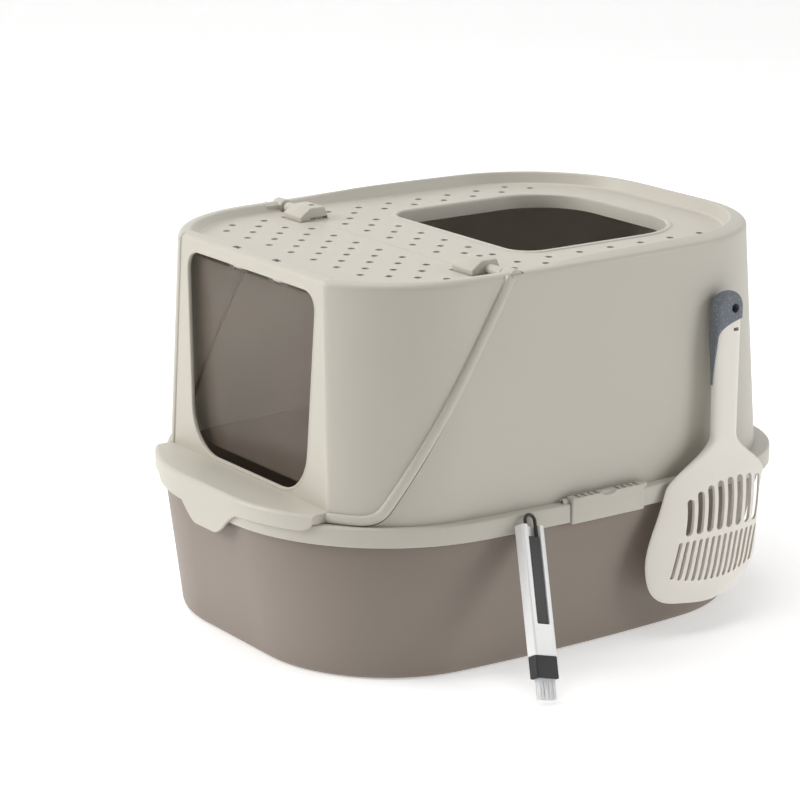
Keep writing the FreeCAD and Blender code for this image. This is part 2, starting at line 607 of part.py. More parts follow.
def make_front_cover(outer, inner, shell):
    """Flip-up front: door panel, corners, front deck, hinge knuckles, bead, ledge and apron."""
    front = common("FrontWalls", shell, make_seam("FrontSeam", "0 - seam_gap / 2", "ring_top + cover_play"))
    solids = [front, make_bead(outer), make_apron(inner)]
    cutters = [make_door(), make_holes("FrontHoles", hole_places(front=True))]
    for side in ("Right", "Left"):
        barrel, arm = make_knuckle(side, outer)
        pieces = [barrel, arm, make_lug(side)]
        bore = rod(f"KnuckleBore{side}", "pin_rad + pin_play", "bore_reach * knuckle_long + ring_bevel",
                   ("knuckle_in - ring_bevel", "0 - pivot_y", "pivot_z"), "X")
        gap = box(f"BlockGap{side}", ("block_in - block_play", "0 - pivot_y - block_front - block_play",
                                      "deck_z - 2 * deck_thick"),
                  ("block_long + 2 * block_play", "block_front + block_play", "4 * deck_thick"))
        flap_bore = rod(f"LugBore{side}", "flap_pin + pin_seat", "4 * lug_half",
                        ("lug_x - 2 * lug_half", "0 - flap_y", "flap_pivot_z"), "X")
        slot = box(f"HookSlot{side}", ("lug_x - slot_half", "0 - slot_y - slot_deep", "deck_z - slot_deep / 2"),
                   ("2 * slot_half", "slot_deep", "2 * deck_thick"))
        tools = [bore, gap, flap_bore, slot]
        if side == "Left":
            pieces = [mirrored(f"{piece.Name}Copy", piece) for piece in pieces]
            tools = [mirrored(f"{tool.Name}Copy", tool) for tool in tools]
        solids += pieces
        cutters += tools
    return cut("FrontCover", fuse("FrontSolids", *solids), fuse("FrontCutters", *cutters))


def make_flap():
    """Clear flap, hung from eyes on both sides of each lug."""
    sheet_part = box("FlapSheet", ("0 - flap_half", "0 - flap_y - flap_thick / 2", "flap_low"),
                     ("2 * flap_half", "flap_thick", "flap_top - flap_low"))
    solids = [sheet_part]
    cutters = []
    for side in ("Right", "Left"):
        eyes = []
        for place_name, start in (("Inner", "lug_x - lug_half - flap_eye_gap - flap_eye_long"),
                                  ("Outer", "lug_x + lug_half + flap_eye_gap")):
            barrel = rod(f"FlapEye{place_name}{side}", "flap_eye", "flap_eye_long",
                         (start, "0 - flap_y", "flap_pivot_z"), "X")
            neck = box(f"FlapNeck{place_name}{side}", (start, "0 - flap_y - flap_thick / 2", "flap_top"),
                       ("flap_eye_long", "flap_thick", "flap_pivot_z - flap_top"))
            eyes += [barrel, neck]
        clear = box(f"FlapClear{side}", ("lug_x - lug_half - flap_eye_gap", "0 - flap_y - lug_depth",
                                         "flap_pivot_z - lug_depth"),
                    ("2 * lug_half + 2 * flap_eye_gap", "2 * lug_depth", "lug_depth"))
        bore = rod(f"FlapBore{side}", "flap_pin + flap_pin_play", "flap_half - lug_half",
                   ("lug_half", "0 - flap_y", "flap_pivot_z"), "X")
        tools = [clear, bore]
        if side == "Left":
            eyes = [mirrored(f"{eye.Name}Copy", eye) for eye in eyes]
            tools = [mirrored(f"{tool.Name}Copy", tool) for tool in tools]
        solids += eyes
        cutters += tools
    return cut("Flap", fuse("FlapSolids", *solids), fuse("FlapCutters", *cutters))


def make_flap_pins():
    reach = "lug_half + flap_eye_gap + flap_eye_long"
    right = rod("FlapPinRight", "flap_pin", f"2 * ( {reach} )",
                (f"lug_x - ( {reach} )", "0 - flap_y", "flap_pivot_z"), "X")
    return group("FlapPins", right, mirrored("FlapPinLeft", right))


def scoop_placement(item):
    """Hang a scoop piece from the peg: its foot leans out and swings to the front."""
    lean = FreeCAD.Rotation(FreeCAD.Vector(0, 1, 0), -value("scoop_lean"))
    tilt = FreeCAD.Rotation(FreeCAD.Vector(1, 0, 0), -value("scoop_tilt"))
    item.Placement.Rotation = lean.multiply(tilt)
    return place(item, "scoop_x", "scoop_y", "scoop_z")


def slot_row(name, count, pitch, width, low, high):
    """A row of round-ended slots across the blade."""
    slots = []
    for i in range(int(value(count))):
        across = f"slot_first + {i} * {pitch}"
        y0, y1 = f"{across} - {width} / 2", f"{across} + {width} / 2"
        plan = polygon(f"{name}{i}Plan", "YZ", [
            (y0, low, f"slot_round * {width}"), (y1, low, f"slot_round * {width}"),
            (y1, high, f"slot_round * {width}"), (y0, high, f"slot_round * {width}")])
        slots.append(extrude(f"{name}{i}", plan, "handle_thick", "handle_thick"))
    return slots


def make_scoop():
    """Flat-bladed scoop with two rows of slots, and the soft cap on its handle's end."""
    blade = polygon("BladePlan", "YZ", [
        ("handle_half - handle_taper", "0 - handle_low"),
        ("handle_taper - handle_half", "0 - handle_low"),
        ("0 - blade_half", "0 - blade_top", "blade_round / 2"),
        ("0 - blade_half", "0 - blade_low", "blade_round"),
        ("blade_half", "0 - blade_low", "blade_round"),
        ("blade_half", "0 - blade_top", "blade_round / 2")])
    plate = extrude("BladePlate", blade, "blade_thick / 2", "blade_thick / 2")
    handle_plan = polygon("HandlePlan", "YZ", [
        ("handle_half - handle_taper", "0 - blade_top"),
        ("handle_half", "scoop_top", "handle_round * handle_half"),
        ("0 - handle_half", "scoop_top", "handle_round * handle_half"),
        ("handle_taper - handle_half", "0 - blade_top")])
    stick = extrude("HandleStick", handle_plan, "handle_thick / 2", "handle_thick / 2")
    middle = "0 - slot_rows_z"
    slots = slot_row("SlotUp", "slot_up_count", "slot_up_pitch", "slot_up_wide", f"{middle} + slot_gap / 2",
                     f"{middle} + slot_gap / 2 + slot_up_high")
    slots += slot_row("SlotDown", "slot_down_count", "slot_down_pitch", "slot_down_wide",
                      f"{middle} - slot_gap / 2 - slot_down_high", f"{middle} - slot_gap / 2")
    solid = cut("ScoopSlotted", fuse("ScoopSolid", plate, stick), fuse("ScoopSlots", *slots))
    cap_plan = polygon("CapPlan", "YZ", [
        ("0 - handle_half - grip_thick", "0 - grip_tail_low"),
        ("grip_tail_wide - handle_half", "0 - grip_tail_low"),
        ("grip_tail_wide - handle_half", "0 - grip_low"),
        ("handle_half + grip_thick", "0 - grip_low"),
        ("handle_half + grip_thick", "scoop_top + grip_thick", "handle_round * handle_half"),
        ("0 - handle_half - grip_thick", "scoop_top + grip_thick", "handle_round * handle_half")])
    cap = extrude("CapBlock", cap_plan, "handle_thick / 2 + grip_thick", "handle_thick / 2 + grip_thick")
    peg_hole = rod("PegHole", "peg_rad + peg_play", "2 * ring_half",
                   ("0", "scoop_y", "scoop_z"), "X")
    body_placed = scoop_placement(group("ScoopPlaced", solid))
    cap_placed = scoop_placement(group("CapPlaced", cap))
    body = cut("ScoopBody", body_placed, peg_hole)
    grip = cut("ScoopGrip", cut("CapBored", cap_placed, peg_hole), body_placed)
    return body, grip


def make_peg(outer):
    return cut("ScoopPeg", rod("PegRod", "peg_rad", "peg_out - top_half + top_rr / 2",
                               ("top_half - top_rr / 2", "scoop_y", "scoop_z"), "X"), outer)


def brush_placement(item):
    """Lean a brush piece back on the ring, with its tip out on the floor."""
    swing = FreeCAD.Rotation(FreeCAD.Vector(1, 0, 0), -value("brush_swing"))
    lean = FreeCAD.Rotation(FreeCAD.Vector(0, 1, 0), -value("brush_lean"))
    item.Placement.Rotation = swing.multiply(lean)
    return place(item, "brush_x", "brush_y", "brush_z")


def upright(name, thick, wide_size, low, long):
    """A block on the brush's own axis: thick along X, wide along Y, from low up Z."""
    return box(name, (f"0 - {thick} / 2", f"0 - {wide_size} / 2", low), (thick, wide_size, long))


def make_brush():
    """Bristles, ferrule, grip with an open recess, and the slim dustpan that snaps into it."""
    grip_z = "bristle_long + ferrule_long"
    floor_x = "grip_thick_all / 2 - recess_deep"
    bristles = upright("BristleBlock", "bristle_thick", "bristle_wide", "0", "bristle_long")
    ferrule = upright("FerruleBlock", "ferrule_thick", "ferrule_wide", "bristle_long", "ferrule_long")
    bar = upright("GripBar", "grip_thick_all", "grip_wide", grip_z, "grip_long")
    recess = box("GripRecess", (floor_x, "0 - tool_wide / 2 - tool_play", f"{grip_z} + grip_closed"),
                 ("grip_thick_all", "tool_wide + 2 * tool_play", "grip_long"))
    tool_low = f"{grip_z} + grip_closed + tool_play"
    tool = box("ToolBlade", (f"{floor_x} + tool_play", "0 - tool_wide / 2", tool_low),
               ("tool_thick", "tool_wide", f"tool_top - ( {tool_low} )"))
    loop = doc.addObject("Part::Torus", "ToolLoop")
    bind(loop, "Radius1", "loop_rad")
    bind(loop, "Radius2", "loop_wire")
    loop.Placement.Rotation = AXES["X"]
    place(loop, x=f"{floor_x} + tool_play + tool_thick / 2", z="tool_top + loop_rad")
    parts = (bristles, ferrule, cut("GripBody", bar, recess), fuse("ToolBody", tool, loop))
    return [brush_placement(group(f"{part.Name}Placed", part)) for part in parts]


hood_outer, hood_inner, hood_shell = make_hood_shell()
nodes = {
    "pan": make_pan(),
    "rear_hood": make_rear_hood(hood_shell, make_ring()),
    "front_cover": make_front_cover(hood_outer, hood_inner, hood_shell),
    "flap_door": make_flap(),
    "flap_pins": make_flap_pins(),
    "hinge_block_right": make_block("Right"),
    "hinge_pin_right": make_hinge_pin("Right"),
    "latch_right": make_latch("Right"),
    "latch_pin_right": make_latch_pin("Right"),
    "scoop_peg": make_peg(hood_outer),
}
for piece in ("hinge_block", "hinge_pin", "latch", "latch_pin"):
    nodes[f"{piece}_left"] = mirrored(f"{piece}_mirror", nodes[f"{piece}_right"])
nodes["scoop_body"], nodes["scoop_grip"] = make_scoop()
brush_nodes = ("brush_bristles", "brush_ferrule", "brush_handle", "mini_dustpan")
nodes.update(zip(brush_nodes, make_brush()))
doc.recompute()

for item in doc.Objects:
    if "Invalid" in item.State or "Error" in item.State:
        raise RuntimeError(f"{item.Name} failed: {item.State}")
os.makedirs("parts", exist_ok=True)
for label, item in nodes.items():
    item.Label = label
    if item.Shape.isNull() or not item.Shape.isValid():
        raise RuntimeError(f"{label} has no valid shape")
    item.Shape.exportStep(f"parts/{label}.step")
    bounds = item.Shape.BoundBox
    print(f"{label:20s} solids {len(item.Shape.Solids)} volume {item.Shape.Volume / 1000:9.2f} cm3 "
          f"z {bounds.ZMin:.2f} to {bounds.ZMax:.2f}")
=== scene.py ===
import math

import bmesh
import bpy
from mathutils import Matrix, Vector


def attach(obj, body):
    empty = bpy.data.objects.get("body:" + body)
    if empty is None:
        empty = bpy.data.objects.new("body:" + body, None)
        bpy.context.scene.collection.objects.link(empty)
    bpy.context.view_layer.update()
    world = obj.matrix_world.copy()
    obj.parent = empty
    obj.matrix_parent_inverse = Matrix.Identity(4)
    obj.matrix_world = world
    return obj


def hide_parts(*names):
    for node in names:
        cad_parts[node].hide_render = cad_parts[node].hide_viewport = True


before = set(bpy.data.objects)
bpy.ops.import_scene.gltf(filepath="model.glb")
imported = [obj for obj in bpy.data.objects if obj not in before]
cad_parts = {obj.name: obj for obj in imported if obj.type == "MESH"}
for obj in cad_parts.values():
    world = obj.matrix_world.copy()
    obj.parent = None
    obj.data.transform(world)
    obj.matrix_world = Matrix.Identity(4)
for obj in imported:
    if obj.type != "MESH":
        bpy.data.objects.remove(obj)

bl_info = {
    "name": "Covered litter box",
    "version": (1, 0, 0),
    "blender": (4, 5, 0),
    "location": "3D View > Sidebar > Litter box",
    "description": "Builds the looks of a covered litter box round its CAD frame",
    "category": "Object",
}

# Shapes are worked out in millimetres and made in metres
MM = 0.001


# What a user may change


def length_prop(name, description, default):
    """A size in metres for the sidebar."""
    return bpy.props.FloatProperty(name=name, description=description, default=default, min=0.0, precision=5,
                                   subtype="DISTANCE", unit="LENGTH")


def count_prop(name, description, default, least=2):
    """A whole number for the sidebar."""
    return bpy.props.IntProperty(name=name, description=description, default=default, min=least)


def colour_prop(name, description, default):
    """A colour for the sidebar."""
    return bpy.props.FloatVectorProperty(name=name, description=description, default=default, size=3,
                                         min=0.0, max=1.0, subtype="COLOR")


def light_prop(name, description, default, unit="POWER"):
    """A strength of light for the sidebar."""
    return bpy.props.FloatProperty(name=name, description=description, default=default, min=0.0, unit=unit)


class LITTERBOX_PG_sizes(bpy.types.PropertyGroup):
    """Sizes of the repeated features"""
    hole_radius: length_prop("Hole radius", "Radius of the drain holes in the deck", 3.5 * MM)
    groove_pitch: length_prop("Groove pitch", "Step of the grip grooves on the latches", 6.9 * MM)
    groove_width: length_prop("Groove width", "Width of each grip groove", 3.2 * MM)
    bristle_radius: length_prop("Bristle radius", "Radius of one bristle", 0.42 * MM)
    bristles_across: count_prop("Bristles across", "Bristles in each row", 19)
    bristle_rows: count_prop("Bristle rows", "Rows of bristles in the tuft", 6)
    bristle_seed: count_prop("Bristle seed", "Seed of the bristles' lean", 7, least=0)


class LITTERBOX_PG_colours(bpy.types.PropertyGroup):
    """Colours of the finishes"""
    pan: colour_prop("Pan", "Satin plastic of the pan", (0.255, 0.212, 0.178))
    hood: colour_prop("Hood", "Satin plastic of the hood, cover and latches", (0.535, 0.51, 0.445))
    scoop: colour_prop("Scoop", "Satin plastic of the scoop", (0.83, 0.795, 0.725))
    grip: colour_prop("Grip", "Soft cap of the scoop", (0.15, 0.167, 0.19))
    speck: colour_prop("Specks", "Pale specks in the soft cap", (0.3, 0.32, 0.34))
    brush: colour_prop("Brush", "Gloss plastic of the brush", (0.86, 0.86, 0.855))
    ferrule: colour_prop("Ferrule", "Dark collar of the brush", (0.026, 0.026, 0.027))
    bristle: colour_prop("Bristles", "Nylon of the bristles", (0.88, 0.89, 0.9))
    dustpan: colour_prop("Dustpan", "Black plastic of the snap-in dustpan", (0.034, 0.033, 0.033))
    flap: colour_prop("Flap", "Smoky clear sheet of the flap", (0.34, 0.28, 0.23))
    floor: colour_prop("Floor", "Pale studio floor", (0.93, 0.93, 0.93))


class LITTERBOX_PG_light(bpy.types.PropertyGroup):
    """Strength of the studio light"""
    key: light_prop("Key", "Large lamp at the front left", 90.0)
    top: light_prop("Top", "Large lamp overhead", 53.0)
    fill: light_prop("Fill", "Lamp behind the right side", 43.0)
    world: light_prop("World", "Even light from all round", 0.15, "NONE")
    floor: light_prop("Floor glow", "Own light of the floor", 0.36, "NONE")


# Angles and flat outlines

BOTH_SIDES = (-1, 1)
NAMED_SIDES = ((1, "right"), (-1, "left"))


def smooth(share):
    """Ease from 0 to 1 with level ends."""
    share = min(1.0, max(0.0, share))
    return share * share * (3 - 2 * share)


def turns(whole, steps):
    """Even steps through an angle, with both ends."""
    return [whole * k / steps for k in range(steps + 1)]


def span(side, near, far):
    """Stretch of x between two distances from the middle, on the right (1) or on the left (-1)."""
    return sorted((side * near, side * far))


def arc(x, y, radius, angles, rise=None):
    """Points round (x, y) at the given angles; a rise of its own makes it an oval."""
    rise = radius if rise is None else rise
    return [(x + radius * math.cos(angle), y + rise * math.sin(angle)) for angle in angles]


def circle(x, y, radius, steps=32):
    return arc(x, y, radius, turns(math.tau, steps)[:-1])


def rounded(corners, steps):
    """Outline through (a, b, radius) corners, each rounded by an arc."""
    points = []
    count = len(corners)
    for i, (x, y, radius) in enumerate(corners):
        if radius <= 0:
            points.append((x, y))
            continue
        here = Vector((x, y))
        back = (Vector(corners[i - 1][:2]) - here).normalized()
        ahead = (Vector(corners[(i + 1) % count][:2]) - here).normalized()
        half = back.angle(ahead) / 2
        centre = here + (back + ahead).normalized() * radius / math.sin(half)
        start = here + back * radius / math.tan(half) - centre
        end = here + ahead * radius / math.tan(half) - centre
        first = math.atan2(start.y, start.x)
        swept = turns(start.angle_signed(end), steps)
        points += arc(centre.x, centre.y, radius, [first - angle for angle in swept])
    return points


def tapered(low, high, steps, grow=0.0):
    """Outline even about 0 between two levels, each given as (half width, level, corner radius)."""
    (low_half, low_level, low_round), (high_half, high_level, high_round) = low, high
    near, far = low_half + grow, high_half + grow
    foot, head = low_level - grow, high_level + grow
    return rounded([(-near, foot, low_round + grow), (near, foot, low_round + grow),
                    (far, head, high_round + grow), (-far, head, high_round + grow)], steps)


# Plans of the box

SIDE_ARC = 1700.0
CORNER_STEPS, SIDE_STEPS, CREASE_STEPS = 26, 12, 6
CREASE_REACH = 7.0
PANEL_INSET, PANEL_FOOT = 3.0, 1.4


class Outline:
    """Plan of one level in mm: bowed sides, round corners, and a flat front that may be a sunk panel."""

    def __init__(self, half, front, rear, round_front, round_rear, panel=None, side=SIDE_ARC):
        self.half, self.front, self.rear = half, front, rear
        self.round_front, self.round_rear = round_front, round_rear
        self.panel, self.side = panel, side

    def sizes(self):
        return (self.half, self.front, self.rear, self.round_front, self.round_rear, self.panel, self.side)

    def grown(self, by):
        return Outline(*[None if size is None else size + by for size in self.sizes()])

    def towards(self, other, share):
        pairs = zip(self.sizes(), other.sizes())
        return Outline(*[None if a is None or b is None else a + (b - a) * share for a, b in pairs])

    def right_half(self):
        """Points from the middle of the front round the right side to the middle of the rear."""
        side_x = self.half - self.side
        front_y, rear_y = self.round_front - self.front, self.rear - self.round_rear
        front_x = side_x + math.sqrt((self.side - self.round_front) ** 2 - front_y ** 2)
        rear_x = side_x + math.sqrt((self.side - self.round_rear) ** 2 - rear_y ** 2)
        start, front, foot = -math.pi / 2, self.front, CREASE_REACH
        if self.panel is not None:
            start = math.asin((-self.panel - front_y) / self.round_front)
            front, foot = self.panel - PANEL_INSET, PANEL_FOOT
        low, high = math.atan2(front_y, front_x - side_x), math.atan2(rear_y, rear_x - side_x)
        centre = Vector((front_x, front_y))
        corner = centre + self.round_front * Vector((math.cos(start), math.sin(start)))
        begin = Vector((corner.x - foot, -front))
        start += CREASE_REACH / self.round_front
        end = centre + self.round_front * Vector((math.cos(start), math.sin(start)))
        points = [(0.0, -front)]
        for i in range(CREASE_STEPS):
            share = i / CREASE_STEPS
            points.append(tuple(begin.lerp(corner, share).lerp(corner.lerp(end, share), share)))
        arcs = ((front_x, front_y, self.round_front, start, low, CORNER_STEPS),
                (side_x, 0.0, self.side, low, high, SIDE_STEPS),
                (rear_x, rear_y, self.round_rear, high, math.pi / 2, CORNER_STEPS))
        for number, (x, y, radius, a, b, steps) in enumerate(arcs):
            swept = turns(b - a, steps)[min(number, 1):]
            points += arc(x, y, radius, [a + angle for angle in swept])
        points.append((0.0, self.rear))
        return points

    def loop(self, z):
        right = self.right_half()
        left = [(-x, y) for x, y in reversed(right[1:-1])]
        return [(x, y, z) for x, y in right + left]


# Half width, front, rear, front and rear corner radius, and the front panel where there is one
FOOT = Outline(187, 244, 242, 129, 130)
RING = Outline(206, 270, 270, 164, 114)
BASE = Outline(196, 245, 259, 120, 115, 231)
TOP = Outline(191, 240, 258, 131, 141, 226)
RING_LOW, RING_TOP, RING_WALL = 124.0, 141.0, 3.0
SHOULDER_Z, DECK_Z, DECK_THICK, HOOD_WALL = 341.0, 340.0, 3.0, 3.0
SEAM_Y, SEAM_FOOT_Y, SEAM_FOOT_Z, SEAM_GAP = -81.0, -194.0, 150.0, 0.6
SEAM_HEAD_Z, SEAM_CURL, COVER_GAP = 338.5, 24.0, 0.3
SEAM_SLOPE = (SEAM_FOOT_Y - SEAM_Y) / (SEAM_FOOT_Z - SEAM_HEAD_Z)
PIVOT_Y, PIVOT_Z = -75.0, 343.5
# Far outside the box, for cutters
BEYOND = 400.0


def wall_outline(z):
    return BASE.towards(TOP, min(1.0, max(0.0, (z - RING_TOP) / (SHOULDER_Z - RING_TOP))))


def wall_at(y, z, grow=0.0):
    """Point and outward direction on the right wall at a given depth and height."""
    points = wall_outline(z).grown(grow).right_half()
    for (x0, y0), (x1, y1) in zip(points[1:], points[2:]):
        if y0 <= y <= y1 and y1 > y0:
            share = (y - y0) / (y1 - y0)
            return Vector((x0 + (x1 - x0) * share, y, z)), Vector((y1 - y0, x0 - x1, 0)).normalized()
    raise ValueError(f"no wall at {y}")


# Meshes

MERGE_DISTANCE = 1e-6
# Angles in degrees past which edges stay sharp, and past which only the ends of round bars are softened
SHADE_WALLS, SHADE_HOUSING, SHADE_ROUND, SHADE_FLAP, ENDS_ONLY = 24, 28, 35, 40, 50
# Places of a, b and the level along the bar, as x, y and z
AXIS_ORDER = {"X": (2, 0, 1), "Y": (0, 2, 1), "Z": (0, 1, 2)}


def place_object(name, data):
    thing = bpy.data.objects.new(name, data)
    bpy.context.scene.collection.objects.link(thing)
    return thing


class Skin:
    """Collects points in mm and faces, and turns them into a piece."""

    def __init__(self):
        self.points, self.faces = [], []

    def add(self, points):
        first = len(self.points)
        self.points.extend(points)
        return list(range(first, len(self.points)))

    def band(self, one, other, closed=True):
        count = len(one)
        for i in range(count if closed else count - 1):
            j = (i + 1) % count
            self.faces.append((one[i], one[j], other[j], other[i]))

    def cap(self, ring):
        self.faces.append(tuple(ring))

    def tube(self, rings, joined=False):
        """Bands between rings in order; joined last to first, or else capped at both ends."""
        indices = [self.add(ring) for ring in rings]
        for one, other in zip(indices, indices[1:]):
            self.band(one, other)
        if joined:
            self.band(indices[-1], indices[0])
        else:
            self.cap(indices[0])
            self.cap(indices[-1])
        return self

    def piece(self, name):
        mesh = bpy.data.meshes.new(name)
        mesh.from_pydata([tuple(Vector(p) * MM) for p in self.points], [], self.faces)
        work = bmesh.new()
        work.from_mesh(mesh)
        bmesh.ops.remove_doubles(work, verts=work.verts, dist=MERGE_DISTANCE)
        bmesh.ops.recalc_face_normals(work, faces=work.faces)
        work.to_mesh(mesh)
        work.free()
        return place_object(name, mesh)


def shade(thing, angle=SHADE_WALLS):
    """Smooth faces, with sharp edges past an angle in degrees."""
    thing.data.polygons.foreach_set("use_smooth", [True] * len(thing.data.polygons))
    thing.data.set_sharp_from_angle(angle=math.radians(angle))


def settle(thing):
    """Turn a piece with modifiers into a plain mesh."""
    bpy.context.view_layer.update()
    graph = bpy.context.evaluated_depsgraph_get()
    mesh = bpy.data.meshes.new_from_object(thing.evaluated_get(graph))
    thing.modifiers.clear()
    old = thing.data
    thing.data = mesh
    mesh.name = thing.name
    bpy.data.meshes.remove(old)
    return thing


def discard(*things):
    for thing in things:
        mesh = thing.data
        bpy.data.objects.remove(thing)
        bpy.data.meshes.remove(mesh)


def carve(thing, *tools, operation="DIFFERENCE"):
    """Exact boolean with each tool in turn; the tools go away."""
    for tool in tools:
        modifier = thing.modifiers.new("carve", "BOOLEAN")
        modifier.object, modifier.operation, modifier.solver = tool, operation, "EXACT"
    settle(thing)
    discard(*tools)
    return thing


def soften(thing, width, segments=3, angle=40):
    """Round the edges of a piece that are sharper than an angle in degrees."""
    modifier = thing.modifiers.new("soften", "BEVEL")
    modifier.width, modifier.segments = width * MM, segments
    modifier.limit_method, modifier.angle_limit = "ANGLE", math.radians(angle)
    return settle(thing)


def unite(name, *things):
    """Join pieces into one object that holds all their shells."""
    mesh = bpy.data.meshes.new(name)
    work = bmesh.new()
    for thing in things:
        work.from_mesh(thing.data)
    work.to_mesh(mesh)
    work.free()
    discard(*things)
    return place_object(name, mesh)


def block(name, x_span, y_span, z_span):
    (x0, x1), (y0, y1) = x_span, y_span
    return Skin().tube([[(x0, y0, z), (x1, y0, z), (x1, y1, z), (x0, y1, z)] for z in z_span]).piece(name)


def prism(name, outline, axis, low, high):
    """Straight bar on a flat outline: axis X takes (y, z) pairs, Y takes (x, z), Z takes (x, y)."""
    rings = []
    for level in (low, high):
        corners = [(a, b, level) for a, b in outline]
        rings.append([tuple(corner[i] for i in AXIS_ORDER[axis]) for corner in corners])
    return Skin().tube(rings).piece(name)


def mirrored_pair(name, rings):
    """One piece on the right and its mirror image on the left."""
    mirrored = [[(-x, y, z) for x, y, z in ring] for ring in rings]
    return Skin().tube(rings).piece(f"{name}_right"), Skin().tube(mirrored).piece(f"{name}_left")


# Materials

# Sockets of a colour mix: its share, its two colours and its result
MIX_SHARE, MIX_FIRST, MIX_SECOND, MIX_RESULT = 0, 6, 7, 2
SLOW_SCALE, FINE_SCALE, SPECK_SCALE, STREAK_SCALE, SCRATCH_SCALE = 9.0, 900.0, 420.0, 14.0, 700.0
POLISH_LOW, POLISH_SLOW, POLISH_FINE = 0.06, 0.08, 0.05
BUMP_DEPTH = 0.0004
WHITE = (1.0, 1.0, 1.0)


class Sock:
    """A shader socket that takes part in sums and products."""

    def __init__(self, tree, socket):
        self.tree, self.socket = tree, socket

    def join(self, operation, other):
        return node(self.tree, "ShaderNodeMath", {"operation": operation}, {0: self, 1: other})

    def __add__(self, other):
        return self.join("ADD", other)

    def __mul__(self, other):
        return self.join("MULTIPLY", other)

    __radd__, __rmul__ = __add__, __mul__


def node(tree, kind, settings=None, sockets=None, out=0):
    """Add a node, set its options and inputs, and give back one of its outputs."""
    item = tree.nodes.new(kind)
    for key, setting in (settings or {}).items():
        setattr(item, key, setting)
    for key, given in (sockets or {}).items():
        if isinstance(given, Sock):
            tree.links.new(given.socket, item.inputs[key])
        else:
            item.inputs[key].default_value = given
    return Sock(tree, item.outputs[out])


class Finish:
    """A new material with its shader and the nodes that its looks share."""

    def __init__(self, name):
        self.material = bpy.data.materials.new(name)
        self.material.use_nodes = True
        self.tree = self.material.node_tree
        self.shader = self.tree.nodes["Principled BSDF"]
        self.place = node(self.tree, "ShaderNodeTexCoord", out="Object")

    def noise(self, scale, detail=3.0):
        return node(self.tree, "ShaderNodeTexNoise", None,
                    {"Vector": self.place, "Scale": scale, "Detail": detail})

    def mix(self, share, first, second):
        return node(self.tree, "ShaderNodeMix", {"data_type": "RGBA"},
                    {MIX_SHARE: share, MIX_FIRST: first, MIX_SECOND: second}, out=MIX_RESULT)

    def feed(self, **sockets):
        """Link values to the shader's sockets; an underscore stands for a space."""
        for name, given in sockets.items():
            self.tree.links.new(given.socket, self.shader.inputs[name.replace("_", " ")])
        return self.material


def shaded(tone, factor):
    """A colour made darker or paler, with full cover."""
    return tuple(min(1.0, part * factor) for part in tone) + (1.0,)


def plastic(name, tone, rough, grain=0.05, tint=0.05, scale=FINE_SCALE, coat=0.0, speck=None):
    """Moulded plastic: fine grain, slow change of tone and polish, and specks where given."""
    finish = Finish(name)
    slow, fine = finish.noise(SLOW_SCALE), finish.noise(scale, 2.0)
    base = finish.mix(slow, shaded(tone, 1 - tint), shaded(tone, 1 + tint))
    if speck:
        cells = node(finish.tree, "ShaderNodeTexVoronoi", None,
                     {"Vector": finish.place, "Scale": SPECK_SCALE})
        spots = node(finish.tree, "ShaderNodeMapRange", None,
                     {"Value": cells, "From Min": 0.16, "From Max": 0.34, "To Min": 0.75, "To Max": 0.0})
        base = finish.mix(spots, base, shaded(speck, 1.0))
    finish.shader.inputs["Coat Weight"].default_value = coat
    bump = node(finish.tree, "ShaderNodeBump", None,
                {"Strength": grain, "Distance": BUMP_DEPTH, "Height": fine})
    polish = rough - POLISH_LOW + slow * POLISH_SLOW + fine * POLISH_FINE
    return finish.feed(Base_Color=base, Roughness=polish, Normal=bump)


def clear_sheet(name, tone, alpha):
    """Smoky clear plastic with faint streaks."""
    finish = Finish(name)
    slow = finish.noise(STREAK_SCALE)
    base = finish.mix(slow, shaded(tone, 0.9), shaded(tone, 1.0))
    return finish.feed(Base_Color=base, Roughness=0.08 + slow * 0.1, Alpha=alpha - 0.05 + slow * 0.1)


def steel(name):
    """Drawn wire with fine scratches."""
    finish = Finish(name)
    fine = finish.noise(SCRATCH_SCALE)
    finish.shader.inputs["Metallic"].default_value = 1.0
    base = finish.mix(fine, (0.52, 0.52, 0.53, 1.0), (0.66, 0.66, 0.66, 1.0))
    return finish.feed(Base_Color=base, Roughness=0.25 + fine * 0.2)


MATERIALS = {}


def make_materials():
    tone = {name: tuple(getattr(bpy.context.scene.litterbox_colours, name))
            for name in LITTERBOX_PG_colours.__annotations__}
    MATERIALS.update({
        "pan": plastic("pan_plastic", tone["pan"], 0.48, tint=0.03),
        "hood": plastic("hood_plastic", tone["hood"], 0.44, tint=0.02),
        "scoop": plastic("scoop_plastic", tone["scoop"], 0.42, tint=0.02),
        "grip": plastic("grip_rubber", tone["grip"], 0.62, grain=0.2, tint=0.1, speck=tone["speck"]),
        "white": plastic("white_plastic", tone["brush"], 0.3, tint=0.015, coat=0.1),
        "ferrule": plastic("grey_plastic", tone["ferrule"], 0.6, tint=0.08),
        "bristle": plastic("bristle_nylon", tone["bristle"], 0.35, tint=0.08),
        "black": plastic("black_plastic", tone["dustpan"], 0.5, tint=0.08),
        "clear": clear_sheet("clear_plastic", tone["flap"], 0.2),
        "steel": steel("pin_steel"),
        "floor": plastic("studio_floor", tone["floor"], 0.6, grain=0.0, tint=0.004, scale=60.0),
    })
    glow = MATERIALS["floor"].node_tree.nodes["Principled BSDF"]
    glow.inputs["Emission Color"].default_value = WHITE + (1.0,)
    glow.inputs["Emission Strength"].default_value = bpy.context.scene.litterbox_light.floor


def dress(thing, material, body, node_name):
    """Give a piece its finish, its place in the frame and the node it stands for."""
    thing.data.materials.clear()
    thing.data.materials.append(MATERIALS[material])
    thing.data.polygons.foreach_set("material_index", [0] * len(thing.data.polygons))
    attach(thing, body)
    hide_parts(node_name)


# Geometry node trees

